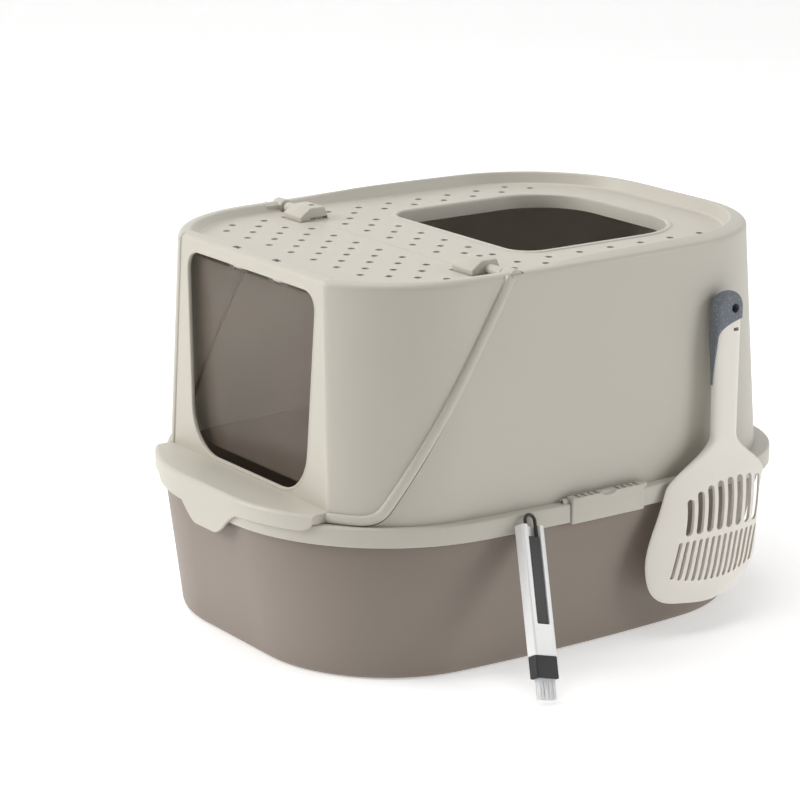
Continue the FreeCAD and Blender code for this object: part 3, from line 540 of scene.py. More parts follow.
HOLE_SIDES, DRILL_LONG = 20, 4 * DECK_THICK


def new_tree(name, sizes):
    """Empty geometry tree with a mesh going in and out and named sizes."""
    tree = bpy.data.node_groups.new(name, "GeometryNodeTree")
    tree.interface.new_socket("Geometry", in_out="INPUT", socket_type="NodeSocketGeometry")
    for label, kind in sizes.items():
        tree.interface.new_socket(label, in_out="INPUT", socket_type=f"NodeSocket{kind}")
    tree.interface.new_socket("Geometry", in_out="OUTPUT", socket_type="NodeSocketGeometry")
    start, end = tree.nodes.new("NodeGroupInput"), tree.nodes.new("NodeGroupOutput")
    given = {socket.name: Sock(tree, socket) for socket in start.outputs if socket.name}
    return tree, given, end


def close_tree(tree, end, geometry, material):
    solid = node(tree, "GeometryNodeRealizeInstances", None, {"Geometry": geometry})
    dressed = node(tree, "GeometryNodeSetMaterial", None,
                   {"Geometry": solid, "Material": MATERIALS[material]})
    tree.links.new(dressed.socket, end.inputs[0])


def apply_tree(thing, tree, values):
    modifier = thing.modifiers.new(tree.name, "NODES")
    modifier.node_group = tree
    names = {item.name: item.identifier for item in tree.interface.items_tree if item.in_out == "INPUT"}
    for label, setting in values.items():
        modifier[names[label]] = setting
    settle(thing)
    bpy.data.node_groups.remove(tree)
    return thing


def perforate(thing, places, material):
    """Drill a round hole at each place, with cylinders set on points and taken away from the plate."""
    marks = Skin()
    marks.add([(x, y, DECK_Z - DECK_THICK / 2) for x, y in places])
    points = marks.piece("hole_marks")
    kinds = {"Marks": "Object", "Radius": "Float", "Depth": "Float"}
    tree, given, end = new_tree("Deck perforations", kinds)
    source = node(tree, "GeometryNodeObjectInfo", None, {"Object": given["Marks"]}, out="Geometry")
    drill = node(tree, "GeometryNodeMeshCylinder", None,
                 {"Vertices": HOLE_SIDES, "Radius": given["Radius"], "Depth": given["Depth"]}, out="Mesh")
    drills = node(tree, "GeometryNodeInstanceOnPoints", None, {"Points": source, "Instance": drill})
    solid = node(tree, "GeometryNodeRealizeInstances", None, {"Geometry": drills})
    holed = node(tree, "GeometryNodeMeshBoolean", {"operation": "DIFFERENCE", "solver": "EXACT"},
                 {0: given["Geometry"], 1: solid}, out="Mesh")
    close_tree(tree, end, holed, material)
    apply_tree(thing, tree, {"Marks": points, "Radius": bpy.context.scene.litterbox_sizes.hole_radius,
                            "Depth": DRILL_LONG * MM})
    discard(points)


# Pan

PAN_WALL, PAN_FLOOR, PAN_PLAY = 3.0, 3.0, 0.8
PAN_FLARE_Z, PAN_BEND_Z = 4.0, 16.0
FOOT_ROUND, INSIDE_ROUND, ROUND_STEPS = 6.0, 12.0, 6
FOOT_INSET = 9.0
# Pan's edge: distance below the rim and in from the outside
PAN_EDGE = ((1.2, 0.0), (0.4, 0.4), (0.0, 1.2), (0.0, PAN_WALL - 0.6), (0.6, PAN_WALL))


def build_pan():
    rim = RING.grown(-RING_WALL - PAN_PLAY)
    rim_z = RING_TOP - RING_WALL

    def level(z, grow):
        return FOOT.towards(rim, max(0.0, (z - PAN_FLARE_Z) / (rim_z - PAN_FLARE_Z))).grown(grow).loop(z)

    rings = [level(0.0, -FOOT_INSET)]
    for turn in turns(math.pi / 2, ROUND_STEPS):
        z = FOOT_ROUND - FOOT_ROUND * math.cos(turn)
        rings.append(level(z, -FOOT_ROUND + FOOT_ROUND * math.sin(turn)))
    rings += [level(rim_z - drop, -inset) for drop, inset in PAN_EDGE]
    rings.append(level(PAN_BEND_Z, -PAN_WALL))
    for turn in turns(math.pi / 2, ROUND_STEPS)[1:]:
        z = PAN_FLOOR + INSIDE_ROUND * (1 - math.sin(turn))
        rings.append(level(z, -PAN_WALL - INSIDE_ROUND * (1 - math.cos(turn))))
    pan = Skin().tube(rings).piece("pan_tub")
    shade(pan, SHADE_ROUND)
    dress(pan, "pan", "pan", "pan")


# Hood walls and the seam

# Corners of the rim's section: distance in from the wall, height and radius
RIM_FRONT = ((0.0, 338.0, 0.0), (0.0, 348.0, 6.8), (-11.9, 348.0, 4.0), (-17.3, DECK_Z, 4.8),
             (-20.6, DECK_Z, 0.0))
RIM_REAR = ((0.0, 338.0, 0.0), (0.0, 347.6, 4.6), (-15.6, 352.0, 2.2), (-19.6, DECK_Z, 3.0),
            (-23.6, DECK_Z, 0.0))
RIM_GROWTH, RIM_STEPS = 110.0, 6
SEAM_CUT_TOP, SEAM_CUT_STEPS = 420.0, 10


def rim_rings():
    """Levels of the rolled rim, which grows wider and higher behind the seam."""
    rings = []
    for (near, low), (far, high) in zip(rounded(RIM_FRONT, RIM_STEPS), rounded(RIM_REAR, RIM_STEPS)):
        front = wall_outline(low).grown(near).loop(low)
        rear = wall_outline(high).grown(far).loop(high)
        rings.append([tuple(Vector(a).lerp(Vector(b), smooth((a[1] - SEAM_Y) / RIM_GROWTH)))
                      for a, b in zip(front, rear)])
    return rings


def hood_body(name):
    """The whole hood before the seam parts it."""
    foot = [BASE.grown(-HOOD_WALL).loop(RING_TOP), BASE.loop(RING_TOP)]
    skin = Skin()
    outer = [skin.add(ring) for ring in foot + rim_rings()]
    for one, other in zip(outer, outer[1:]):
        skin.band(one, other)
    skin.cap(outer[-1])
    under = skin.add(TOP.grown(-HOOD_WALL).loop(DECK_Z - DECK_THICK))
    skin.band(under, outer[0])
    skin.cap(under)
    return skin.piece(name)


def seam_line(shift, floor, curl):
    """Side view of the seam from the deck down, curled forward into the cover's lower edge."""
    foot_y = SEAM_FOOT_Y + (floor - SEAM_FOOT_Z) * SEAM_SLOPE
    return [(SEAM_Y + shift, SEAM_HEAD_Z, 0.0), (foot_y + shift, floor, curl), (-BEYOND, floor, 0.0)]


def seam_cutter(name, shift, floor):
    """Everything in front of the seam, as a bar across the box."""
    corners = [(-BEYOND, SEAM_CUT_TOP, 0.0), (SEAM_Y + shift, SEAM_CUT_TOP, 0.0)]
    corners += seam_line(shift, floor, SEAM_CURL)
    return prism(name, rounded(corners, SEAM_CUT_STEPS), "X", -BEYOND, BEYOND)


# Holes in the deck

HOLE_PITCH, HOLE_ROW, HOLE_COLUMNS, HOLE_CLEAR = 36.0, 17.2, 6, 11.0
REAR_FIRST, REAR_ROWS, FRONT_FIRST, FRONT_ROWS = SEAM_Y + 18.0, 15, SEAM_Y - 18.5, 5
# Field of holes: half width, middle of its round corners and their reach
REAR_HALF, REAR_CORNER, REAR_REACH = 156.0, (60.0, 150.0), 92.0
FRONT_HALF, FRONT_CORNER, FRONT_REACH, FRONT_END = 160.0, (62.0, -105.0), 102.0, -204.0
# Room round the hinge blocks and the flap's slots
BLOCK_ROOM, BLOCK_ROOM_REAR, BLOCK_ROOM_FRONT = (108.0, 158.0), -54.0, -101.0
SLOT_ROOM, SLOT_ROOM_Y = (24.0, 40.0), -200.0
# Top opening at its front and rear: half width, depth and corner radius
HATCH_FRONT, HATCH_REAR, HATCH_STEPS, HATCH_CUT = (104, -6, 24), (104, 190, 62), 12, 1.5
HATCH_CUT_Z = (320.0, 360.0)


def hole_rows(first, step, count, keep):
    """Middles of staggered rows of holes, where the deck has room for them."""
    places = []
    for row in range(count):
        y = first + step * row
        for column in range(-HOLE_COLUMNS, HOLE_COLUMNS + 1):
            x = (column + (0.5 if row % 2 == 0 else 0.0)) * HOLE_PITCH
            if keep(x, y):
                places.append((x, y))
    return places


def rear_keeps(x, y):
    (half, front, _), rear = HATCH_FRONT, HATCH_REAR[1]
    in_hatch = abs(x) < half + HOLE_CLEAR and front - HOLE_CLEAR < y < rear + HOLE_CLEAR
    near_block = BLOCK_ROOM[0] < abs(x) < BLOCK_ROOM[1] and y < BLOCK_ROOM_REAR
    from_corner = math.hypot(max(0.0, abs(x) - REAR_CORNER[0]), y - REAR_CORNER[1])
    in_corner = y > REAR_CORNER[1] and from_corner > REAR_REACH
    return not (in_hatch or near_block or in_corner or y < SEAM_Y + HOLE_CLEAR or abs(x) > REAR_HALF)


def front_keeps(x, y):
    near_block = BLOCK_ROOM[0] < abs(x) < BLOCK_ROOM[1] and y > BLOCK_ROOM_FRONT
    in_corner = math.hypot(max(0.0, abs(x) - FRONT_CORNER[0]), y - FRONT_CORNER[1]) > FRONT_REACH
    near_slot = SLOT_ROOM[0] < abs(x) < SLOT_ROOM[1] and y < SLOT_ROOM_Y
    return not (near_block or in_corner or near_slot or abs(x) > FRONT_HALF or y < FRONT_END)


# Rear hood

# Rolled edge of the top opening: distance out from the opening and height
LIP_SECTION = ((0.0, 328.0), (0.0, 338.6), (0.5, 340.2), (1.6, 341.2), (3.2, 341.4), (5.0, 341.0),
               (6.4, 339.6), (6.4, 338.0), (3.0, 337.0), (3.0, 328.0))
# Skirt and shelf: plan, growth and height
RING_SECTION = ((RING, 0.0, RING_LOW + 0.8), (RING, 0.0, 138.6), (RING, -0.3, 139.8), (RING, -1.0, 140.6),
                (RING, -2.2, RING_TOP), (BASE, -3.0, RING_TOP), (BASE, -3.0, 138.2), (RING, -3.0, 138.2),
                (RING, -3.0, RING_LOW + 0.4), (RING, -2.6, RING_LOW), (RING, -0.8, RING_LOW))
LATCH_FRONT, LATCH_REAR, LATCH_PLAY = -28.0, 52.0, 0.8
NOTCH_X, NOTCH_Z = (196.9, 215.0), (118.0, 150.0)
EAR_X, EAR_FRONTS, EAR_WIDE, EAR_STEPS = (197.2, 203.2), (-34.6, 52.6), 6.0, 8
EAR_LOW, EAR_SPRING, EAR_HALF, EAR_RISE, EAR_SOFT = 139.5, 142.0, 3.0, 2.9, 0.9
FLANGE_LOW, FLANGE_HIGH, FLANGE_STEPS = 160.0, 334.0, 24
# Flange: distance behind the seam and in from the wall
FLANGE_SECTION = ((-0.8, 3.2), (0.8, 2.6), (7.0, 2.6), (7.0, 7.0), (-0.8, 7.0))
KNUCKLE_RADIUS, KNUCKLE_PLAY, KNUCKLE_STEPS = 7.0, 0.7, 40
KNUCKLE_ROOM_X, REAR_SEAM_DROP = (169.8, 187.0), 0.5
DECK_CHAMFER, DECK_CHAMFER_TOP, DECK_HALF = 1.9, 340.2, 170.0


def build_lip():
    """Rolled edge round the top opening."""
    rings = []
    for grow, z in LIP_SECTION:
        outline = tapered(HATCH_FRONT, HATCH_REAR, HATCH_STEPS, grow)
        rings.append([(x, y, z) for x, y in outline])
    return Skin().tube(rings, joined=True).piece("hatch_lip")


def build_ring():
    """Skirt round the hood's foot, with its shelf and a notch for each latch."""
    rings = [plan.grown(grow).loop(z) for plan, grow, z in RING_SECTION]
    ring = Skin().tube(rings, joined=True).piece("skirt_ring")
    y_span = (LATCH_FRONT - LATCH_PLAY, LATCH_REAR + LATCH_PLAY)
    notches = [block("notch", span(side, *NOTCH_X), y_span, NOTCH_Z) for side in BOTH_SIDES]
    return carve(ring, *notches)


def build_ears():
    """Small ears on the shelf that hold the latch pins."""
    ears = []
    for side in BOTH_SIDES:
        x0, x1 = span(side, *EAR_X)
        arch = [(x1, EAR_LOW), (x1, EAR_SPRING)]
        arch += arc((x0 + x1) / 2, EAR_SPRING, EAR_HALF, turns(math.pi, EAR_STEPS)[1:-1], EAR_RISE)
        arch += [(x0, EAR_SPRING), (x0, EAR_LOW)]
        ears += [soften(prism("ear", arch, "Y", y, y + EAR_WIDE), EAR_SOFT) for y in EAR_FRONTS]
    return ears


def build_flanges():
    """Narrow flange inside each wall, just behind the seam, for the cover to close on."""
    rings = []
    for i in range(FLANGE_STEPS + 1):
        z = FLANGE_LOW + (FLANGE_HIGH - FLANGE_LOW) * i / FLANGE_STEPS
        y = SEAM_Y + (z - SEAM_HEAD_Z) * SEAM_SLOPE
        rings.append([tuple(wall_at(y + shift, z, -deep)[0]) for shift, deep in FLANGE_SECTION])
    return mirrored_pair("flange", rings)


def build_rear_hood():
    hatch = tapered(HATCH_FRONT, HATCH_REAR, HATCH_STEPS, HATCH_CUT)
    body = hood_body("rear_walls")
    carve(body, seam_cutter("front_side", SEAM_GAP / 2, RING_TOP - REAR_SEAM_DROP),
          prism("hatch", hatch, "Z", *HATCH_CUT_Z))
    room = circle(PIVOT_Y, PIVOT_Z, KNUCKLE_RADIUS + KNUCKLE_PLAY, KNUCKLE_STEPS)
    rooms = [prism("knuckle_room", room, "X", *span(side, *KNUCKLE_ROOM_X)) for side in BOTH_SIDES]
    edge = [(SEAM_Y, DECK_CHAMFER_TOP - DECK_CHAMFER), (SEAM_Y + DECK_CHAMFER, DECK_CHAMFER_TOP),
            (SEAM_Y, DECK_CHAMFER_TOP)]
    carve(body, prism("deck_edge", edge, "X", -DECK_HALF, DECK_HALF), *rooms)
    perforate(body, hole_rows(REAR_FIRST, HOLE_ROW, REAR_ROWS, rear_keeps), "hood")
    whole = unite("rear_hood_shell", body, build_ring(), build_lip(), *build_flanges(), *build_ears())
    shade(whole)
    dress(whole, "hood", "hood", "rear_hood")


# Front cover

BEAD_HALF, BEAD_RISE, BEAD_SINK, BEAD_CLEAR, BEAD_ARCH = 4.5, 3.7, 2.0, 2.0, 0.7
BEAD_HEAD_Z, BEAD_STEPS, BEAD_END_Y, BEAD_CURL_STEPS = 345.0, 30, -230.9, 12
BEAD_THIN, BEAD_THIN_STEPS, BEAD_ARCH_STEPS = 0.55, 3.0, 8
APRON_HALF, APRON_STEPS, APRON_REACH, APRON_WALL, APRON_BEND = 130.0, 104, 3.4, 3.0, 4.2
APRON_LOW, APRON_CLIMB, APRON_CLIMB_END = 133.0, 2.0, 110.0
APRON_END, APRON_END_ROUND, APRON_END_DROP, APRON_LEAST = 116.0, 14.0, 6.0, 1.3
TAB_LOW, TAB_HALF, TAB_SLOPE, BEND_STEPS = 110.0, 14.0, 40.0, 7
LEDGE_Z, LEDGE_BACK_Y, LEDGE_THICK = 150.0, -224.5, 3.5
# Ends of the ledge: extra depth, where it begins and how long it takes
LEDGE_END_THICK, LEDGE_END, LEDGE_END_LONG = 4.9, 119.0, 6.0
# Apron's hem: distance behind its face and above its lowest line
APRON_HEM = ((0.0, 1.2), (0.5, 0.3), (1.5, 0.0), (APRON_WALL - 0.4, 0.2), (APRON_WALL, 0.8))
# Door at its foot and head: half width, height and corner radius
DOOR_FOOT, DOOR_HEAD, DOOR_STEPS, DOOR_CUT = (92, 153, 42), (104, 334, 16), 10, (-260.0, -205.0)
# Soft edge of the door: distance out from the opening and behind the panel's face
DOOR_LIP = ((2.6, 0.05), (1.6, -0.35), (0.6, -0.3), (-0.2, 0.4), (-0.5, 1.6), (-0.2, 2.8), (0.6, 3.4),
            (2.6, 3.1))
BLOCK_GAP_X, BLOCK_GAP_Y, BLOCK_GAP_Z = (116.0, 150.0), (-95.0, -70.0), (330.0, 346.0)
HOOK_X, HOOK_Y, HOOK_Z = (27.0, 37.0), (-217.8, -210.8), (339.5, 352.0)
KNUCKLE_X, KNUCKLE_SOFT = (171.0, 186.4), 1.6
ARM_X, ARM_Y, ARM_Z, ARM_SOFT = (171.0, 186.0), (-95.0, PIVOT_Y), (339.4, 346.5), 0.8
ARM_SHORTER = (1.0, 2.0)
FLAP_Y, FLAP_PIVOT_Z = -214.0, 331.0
LUG_X, LUG_RADIUS, LUG_TOP, LUG_SOFT, LUG_STEPS = (26.0, 38.0), 2.2, 338.0, 0.6, 10


def bead_path():
    """Middle line of the bead: down the seam, round its curl and along the cover's foot."""
    shift = -BEAD_HALF * math.hypot(1.0, SEAM_SLOPE) - SEAM_GAP / 2
    foot_z = RING_TOP + COVER_GAP + BEAD_HALF
    head, corner, far = seam_line(shift, foot_z, SEAM_CURL - BEAD_HALF)
    head = (head[0] + (BEAD_HEAD_Z - SEAM_HEAD_Z) * SEAM_SLOPE, BEAD_HEAD_Z, 0.0)
    start, *curl = rounded([head, corner, far], BEAD_CURL_STEPS)[:-1]
    path = []
    for i in range(BEAD_STEPS):
        y, z = [a + (b - a) * i / BEAD_STEPS for a, b in zip(start, curl[0])]
        path.append(wall_at(y, z))
    path += [wall_at(y, z) for y, z in curl]
    foot = [y for x, y in wall_outline(foot_z).right_half()[1:] if BEAD_END_Y < y < curl[-1][0] - BEAD_CLEAR]
    return path + [wall_at(y, foot_z) for y in reversed(foot)]


def build_bead():
    """Rounded bead with the section of a flat arch, half sunk in the wall and thinner at its head."""
    path = bead_path()
    rings = []
    for i, (spot, out) in enumerate(path):
        ahead = path[min(i + 1, len(path) - 1)][0] - path[max(i - 1, 0)][0]
        side = ahead.cross(out).normalized()
        high = BEAD_RISE * (BEAD_THIN + (1 - BEAD_THIN) * min(1.0, i / BEAD_THIN_STEPS))
        ring = [spot - out * BEAD_SINK + side * BEAD_HALF]
        for turn in turns(math.pi, BEAD_ARCH_STEPS):
            ring.append(spot + side * BEAD_HALF * math.cos(turn) + out * high * math.sin(turn) ** BEAD_ARCH)
        ring.append(spot - out * BEAD_SINK - side * BEAD_HALF)
        rings.append([tuple(point) for point in ring])
    return mirrored_pair("bead", rings)


def apron_face(x):
    """Depth of the apron's face, which follows the ring."""
    outer = RING.grown(APRON_REACH).right_half()
    for (x0, y0), (x1, y1) in zip(outer, outer[1:]):
        if x0 <= abs(x) <= x1:
            return y0 + (y1 - y0) * (abs(x) - x0) / max(MERGE_DISTANCE, x1 - x0)
    raise ValueError(f"no apron at {x}")


def apron_low(x):
    """Lower edge of the apron, with the tab in the middle and rounded ends."""
    x = abs(x)
    plain = APRON_LOW + APRON_CLIMB * min(1.0, x / APRON_CLIMB_END)
    lobe = TAB_LOW + (plain - TAB_LOW) * smooth((x - TAB_HALF) / TAB_SLOPE)
    end = 1.0 - math.sqrt(max(0.0, 1.0 - max(0.0, (x - APRON_END) / APRON_END_ROUND) ** 2))
    return lobe + (LEDGE_Z - APRON_END_DROP - lobe) * end


def build_apron():
    """Ledge below the door, rolled over into an apron with a rounded pull tab."""
    bend_z = LEDGE_Z - APRON_BEND
    rings = []
    for i in range(APRON_STEPS + 1):
        x = -APRON_HALF + 2 * APRON_HALF * i / APRON_STEPS
        y, low = apron_face(x), min(apron_low(x), bend_z - APRON_LEAST)
        under = LEDGE_Z - LEDGE_THICK - LEDGE_END_THICK * smooth((abs(x) - LEDGE_END) / LEDGE_END_LONG)
        section = [(LEDGE_BACK_Y, LEDGE_Z)]
        bend = [math.pi / 2 + turn for turn in turns(math.pi / 2, BEND_STEPS)]
        section += arc(y + APRON_BEND, bend_z, APRON_BEND, bend)
        section += [(y + deep, low + high) for deep, high in APRON_HEM]
        section += [(y + APRON_WALL, under), (LEDGE_BACK_Y, under)]
        rings.append([(x, *point) for point in section])
    return Skin().tube(rings).piece("apron")


def panel_y(z):
    """Face of the sunk front panel at a height."""
    return PANEL_INSET - BASE.panel + (z - RING_TOP) * (BASE.panel - TOP.panel) / (SHOULDER_Z - RING_TOP)


def build_door_lip():
    """Soft edge of the door: a thin frame whose section rolls over the panel's edge."""
    rings = []
    for grow, depth in DOOR_LIP:
        outline = tapered(DOOR_FOOT, DOOR_HEAD, DOOR_STEPS, grow)
        rings.append([(x, panel_y(z) + depth, z) for x, z in outline])
    return Skin().tube(rings, joined=True).piece("door_lip")


def build_front_cover():
    body = hood_body("front_walls")
    carve(body, seam_cutter("front_keep", -SEAM_GAP / 2, RING_TOP + COVER_GAP), operation="INTERSECT")
    knuckle = circle(PIVOT_Y, PIVOT_Z, KNUCKLE_RADIUS, KNUCKLE_STEPS)
    arm = [(ARM_Y[0], ARM_Z[0]), (ARM_Y[1], ARM_Z[0]), (ARM_Y[1], ARM_Z[1]), (ARM_Y[0], ARM_Z[1])]
    lug = [(FLAP_Y + LUG_RADIUS, LUG_TOP), (FLAP_Y - LUG_RADIUS, LUG_TOP)]
    lug += arc(FLAP_Y, FLAP_PIVOT_Z, -LUG_RADIUS, turns(math.pi, LUG_STEPS))
    tools = [prism("door", tapered(DOOR_FOOT, DOOR_HEAD, DOOR_STEPS), "Y", *DOOR_CUT)]
    holders = []
    for side in BOTH_SIDES:
        tools.append(block("block_gap", span(side, *BLOCK_GAP_X), BLOCK_GAP_Y, BLOCK_GAP_Z))
        tools.append(block("hook_slot", span(side, *HOOK_X), HOOK_Y, HOOK_Z))
        round_end = prism("knuckle", knuckle, "X", *span(side, *KNUCKLE_X))
        x0, x1 = span(side, *ARM_X)
        bridge = prism("knuckle_arm", arm, "X", x0 + ARM_SHORTER[0], x1 - ARM_SHORTER[1])
        hanger = prism("lug", lug, "X", *span(side, *LUG_X))
        holders += [soften(round_end, KNUCKLE_SOFT, angle=ENDS_ONLY), soften(bridge, ARM_SOFT),
                    soften(hanger, LUG_SOFT, angle=ENDS_ONLY)]
    carve(body, *tools)
    perforate(body, hole_rows(FRONT_FIRST, -HOLE_ROW, FRONT_ROWS, front_keeps), "hood")
    whole = unite("front_cover_shell", body, *build_bead(), build_apron(), build_door_lip(), *holders)
    shade(whole)
    dress(whole, "hood", "cover", "front_cover")


# Flap

# Sheet at its foot and head: half width, height and corner radius
FLAP_FOOT, FLAP_HEAD, FLAP_STEPS, FLAP_HALF = (106, 157, 30), (106, 327.5, 9), 10, 0.75
# Thickened edge: growth of the sheet and distance from its middle
FLAP_SECTION = ((-8.0, FLAP_HALF), (-5.0, FLAP_HALF), (-4.0, 1.1), (-0.8, 1.1), (0.0, 0.5), (0.0, -0.5),
                (-0.8, -1.1), (-4.0, -1.1), (-5.0, -FLAP_HALF), (-8.0, -FLAP_HALF))
# Eyes that the sheet hangs from
LOOP_STARTS, LOOP_LONG, LOOP_RADIUS, LOOP_STEPS = (18.5, 38.5), 7.0, 2.6, 24
LOOP_SOFT, LOOP_NECK_Z = 0.5, 326.5


def build_flap():
    """Clear sheet with soft corners, a thickened edge and the eyes it hangs from."""
    rings = []
    for grow, depth in FLAP_SECTION:
        outline = tapered(FLAP_FOOT, FLAP_HEAD, FLAP_STEPS, grow)
        rings.append([(x, FLAP_Y - depth, z) for x, z in outline])
    pieces = [Skin().tube(rings).piece("flap_sheet")]
    eye = circle(FLAP_Y, FLAP_PIVOT_Z, LOOP_RADIUS, LOOP_STEPS)
    for side in BOTH_SIDES:
        for start in LOOP_STARTS:
            x_span = span(side, start, start + LOOP_LONG)
            pieces.append(soften(prism("flap_eye", eye, "X", *x_span), LOOP_SOFT))
            pieces.append(block("flap_neck", x_span, (FLAP_Y - FLAP_HALF, FLAP_Y + FLAP_HALF),
                                (LOOP_NECK_Z, FLAP_PIVOT_Z)))
    whole = unite("flap_clear", *pieces)
    shade(whole, SHADE_FLAP)
    dress(whole, "clear", "flap", "flap_door")


# Hinge blocks

# Housing seen from the side: depth and height
HOUSING_SECTION = ((-93.0, 338.2), (-93.0, 345.0), (-83.0, 352.0), (-67.0, 352.0), (-61.0, 338.2))
HOUSING_X, HOUSING_SOFT, HOUSING_SOFT_ANGLE = (118.0, 148.0), 1.3, 25
SCREW_X, SCREW_Y, SCREW_RADIUS, SCREW_Z = 131.0, -73.0, 3.2, (343.0, 360.0)
SHADOW_X, SHADOW_Y, SHADOW_Z = (116.0, 121.0), (-83.0, -64.5), (341.0, 343.2)
BARREL_X, BARREL_RADIUS, BARREL_SOFT, BARREL_STEPS = (146.0, 168.5), 5.0, 0.9, 36


def build_blocks():
    """Hinge housings with a screw hole on top, a slot in the inner face and the barrel of the hinge."""
    for side, word in NAMED_SIDES:
        housing = prism("housing", HOUSING_SECTION, "X", *span(side, *HOUSING_X))
        soften(housing, HOUSING_SOFT, angle=HOUSING_SOFT_ANGLE)
        carve(housing, prism("screw_hole", circle(side * SCREW_X, SCREW_Y, SCREW_RADIUS), "Z", *SCREW_Z),
              block("shadow_slot", span(side, *SHADOW_X), SHADOW_Y, SHADOW_Z))
        round_bar = circle(PIVOT_Y, PIVOT_Z, BARREL_RADIUS, BARREL_STEPS)
        barrel = soften(prism("barrel", round_bar, "X", *span(side, *BARREL_X)), BARREL_SOFT, angle=ENDS_ONLY)
        whole = unite(f"hinge_housing_{word}", housing, barrel)
        shade(whole, SHADE_HOUSING)
        dress(whole, "hood", "hood", f"hinge_block_{word}")


# Latches

# Section: distance of the back, the leg's inner face and the outer face; heights of top, step and foot
LATCH_BACK, LATCH_LEG, LATCH_FACE = 198.2, 203.5, 208.0
LATCH_TOP, LATCH_STEP, LATCH_FOOT, LATCH_SOFT, LATCH_SOFT_STEPS = 146.0, 140.0, 122.5, 1.5, 4
DENT_X, DENT_Y, DENT_Z = 208.6, 12.0, 147.0
DENT_DEEP, DENT_LONG, DENT_HIGH, DENT_STEPS, DENT_SIDES = 5.0, 9.0, 4.2, 12, 24
GROOVE_X, GROOVE_Z, GROOVE_STARTS, GROOVE_COUNT = (199.6, 207.0), (144.6, 150.0), (-20.0, 24.0), 4


def groove_row():
    """A row of bars at even steps along the latch, used to cut its grip grooves."""
    tree, given, end = new_tree("Latch grooves", {"Count": "Int", "Pitch": "Float", "Start": "Vector"})
    step = node(tree, "ShaderNodeCombineXYZ", None, {"Y": given["Pitch"]})
    row = node(tree, "GeometryNodeMeshLine", None,
               {"Count": given["Count"], "Start Location": given["Start"], "Offset": step})
    bars = node(tree, "GeometryNodeInstanceOnPoints", None, {"Points": row, "Instance": given["Geometry"]})
    close_tree(tree, end, bars, "hood")
    return tree


def thumb_dent(side):
    """Egg-shaped cutter for the dent in the latch's upper edge."""
    rings = []
    for turn in turns(math.pi, DENT_STEPS)[1:-1]:
        deep, high = DENT_DEEP * math.sin(turn), DENT_HIGH * math.sin(turn)
        oval = arc(side * DENT_X, DENT_Z, deep, turns(math.tau, DENT_SIDES)[:-1], high)
        rings.append([(x, DENT_Y - DENT_LONG * math.cos(turn), z) for x, z in oval])
    return Skin().tube(rings).piece("thumb_dent")


def build_latches():
    sizes = bpy.context.scene.litterbox_sizes
    half = sizes.groove_width / 2 / MM
    for side, word in NAMED_SIDES:
        back, leg, face = side * LATCH_BACK, side * LATCH_LEG, side * LATCH_FACE
        outline = [(back, LATCH_STEP), (leg, LATCH_STEP), (leg, LATCH_FOOT), (face, LATCH_FOOT),
                   (face, LATCH_TOP), (back, LATCH_TOP)][::side]
        body = prism(f"latch_{word}_body", outline, "Y", LATCH_FRONT, LATCH_REAR)
        soften(body, LATCH_SOFT, LATCH_SOFT_STEPS)
        carve(body, thumb_dent(side))
        for start in GROOVE_STARTS:
            groove = block("groove", span(side, *GROOVE_X), (-half, half), GROOVE_Z)
            row = {"Count": GROOVE_COUNT, "Pitch": sizes.groove_pitch, "Start": (0.0, start * MM, 0.0)}
            carve(body, apply_tree(groove, groove_row(), row))
        shade(body, SHADE_ROUND)
        dress(body, "hood", f"latch_{word}", f"latch_{word}")


# Scoop, measured from its hanging hole

SCOOP_SPOT, SCOOP_TILT = (197.0, 155.0, 288.0), math.radians(-5.5)
# Middle line: start, lean, and the swing of the blade with its start and length
MIDDLE_START, MIDDLE_LEAN, MIDDLE_SWING, SWING_Z, SWING_LONG = -4.4, 0.083, 17.5, -108.0, 110.0
HANDLE_HALF, HANDLE_LONG, HANDLE_TOP, HANDLE_THICK = 15.0, 110.0, 14.0, 5.2
# Shoulders and sides of the blade: growth of the half width, start and length
FLARE, FLARE_Z, FLARE_LONG = 43.0, -112.5, 42.0
WIDEN, WIDEN_Z, WIDEN_LONG = 7.0, -155.0, 60.0
FOOT_NARROW, FOOT_Z, FOOT_LONG, BLADE_CURVE = 40.0, -217.0, 42.0, 2.2
BLADE_OUT, BLADE_OUT_Z, BLADE_OUT_LONG, BLADE_THICK = 5.0, -115.0, 60.0, 1.7
ARCH, ARCH_MORE, ARCH_Z, ARCH_LONG = 8.0, 3.0, -172.0, 50.0
CURL, CURL_Z, CURL_LONG = 4.0, -225.0, 35.0
FLAT_Z, FLAT_LONG, BLADE_ACROSS = -106.0, 40.0, 44
# Power of the section's rounding in the handle, its growth in the blade, and the root taken
EDGE_POWER, EDGE_MORE, EDGE_ROOT = 3.0, 13.0, 1 / 2.4
# Levels of the scoop's sections, closer in the blade and at both ends
SCOOP_LEVELS = ([13.4, 12.6, 11.0, 8.5, 5.0, 1.0] + [-3.0 * i for i in range(1, 37)]
                + [-108.0 - 2.0 * i for i in range(1, 75)] + [-257.2, -258.2, -259.0])
# Slots: count, first, step, width, slant and bow
UPPER_SLOTS, LOWER_SLOTS = (8, -57.5, 11.6, 7.4, 4.6, 2.0), (14, -70.0, 7.2, 3.7, 11.0, 1.0)
UPPER_TOP, UPPER_LOW, LOWER_TOP, LOWER_LOW = -150.0, -196.5, -201.0, -242.0
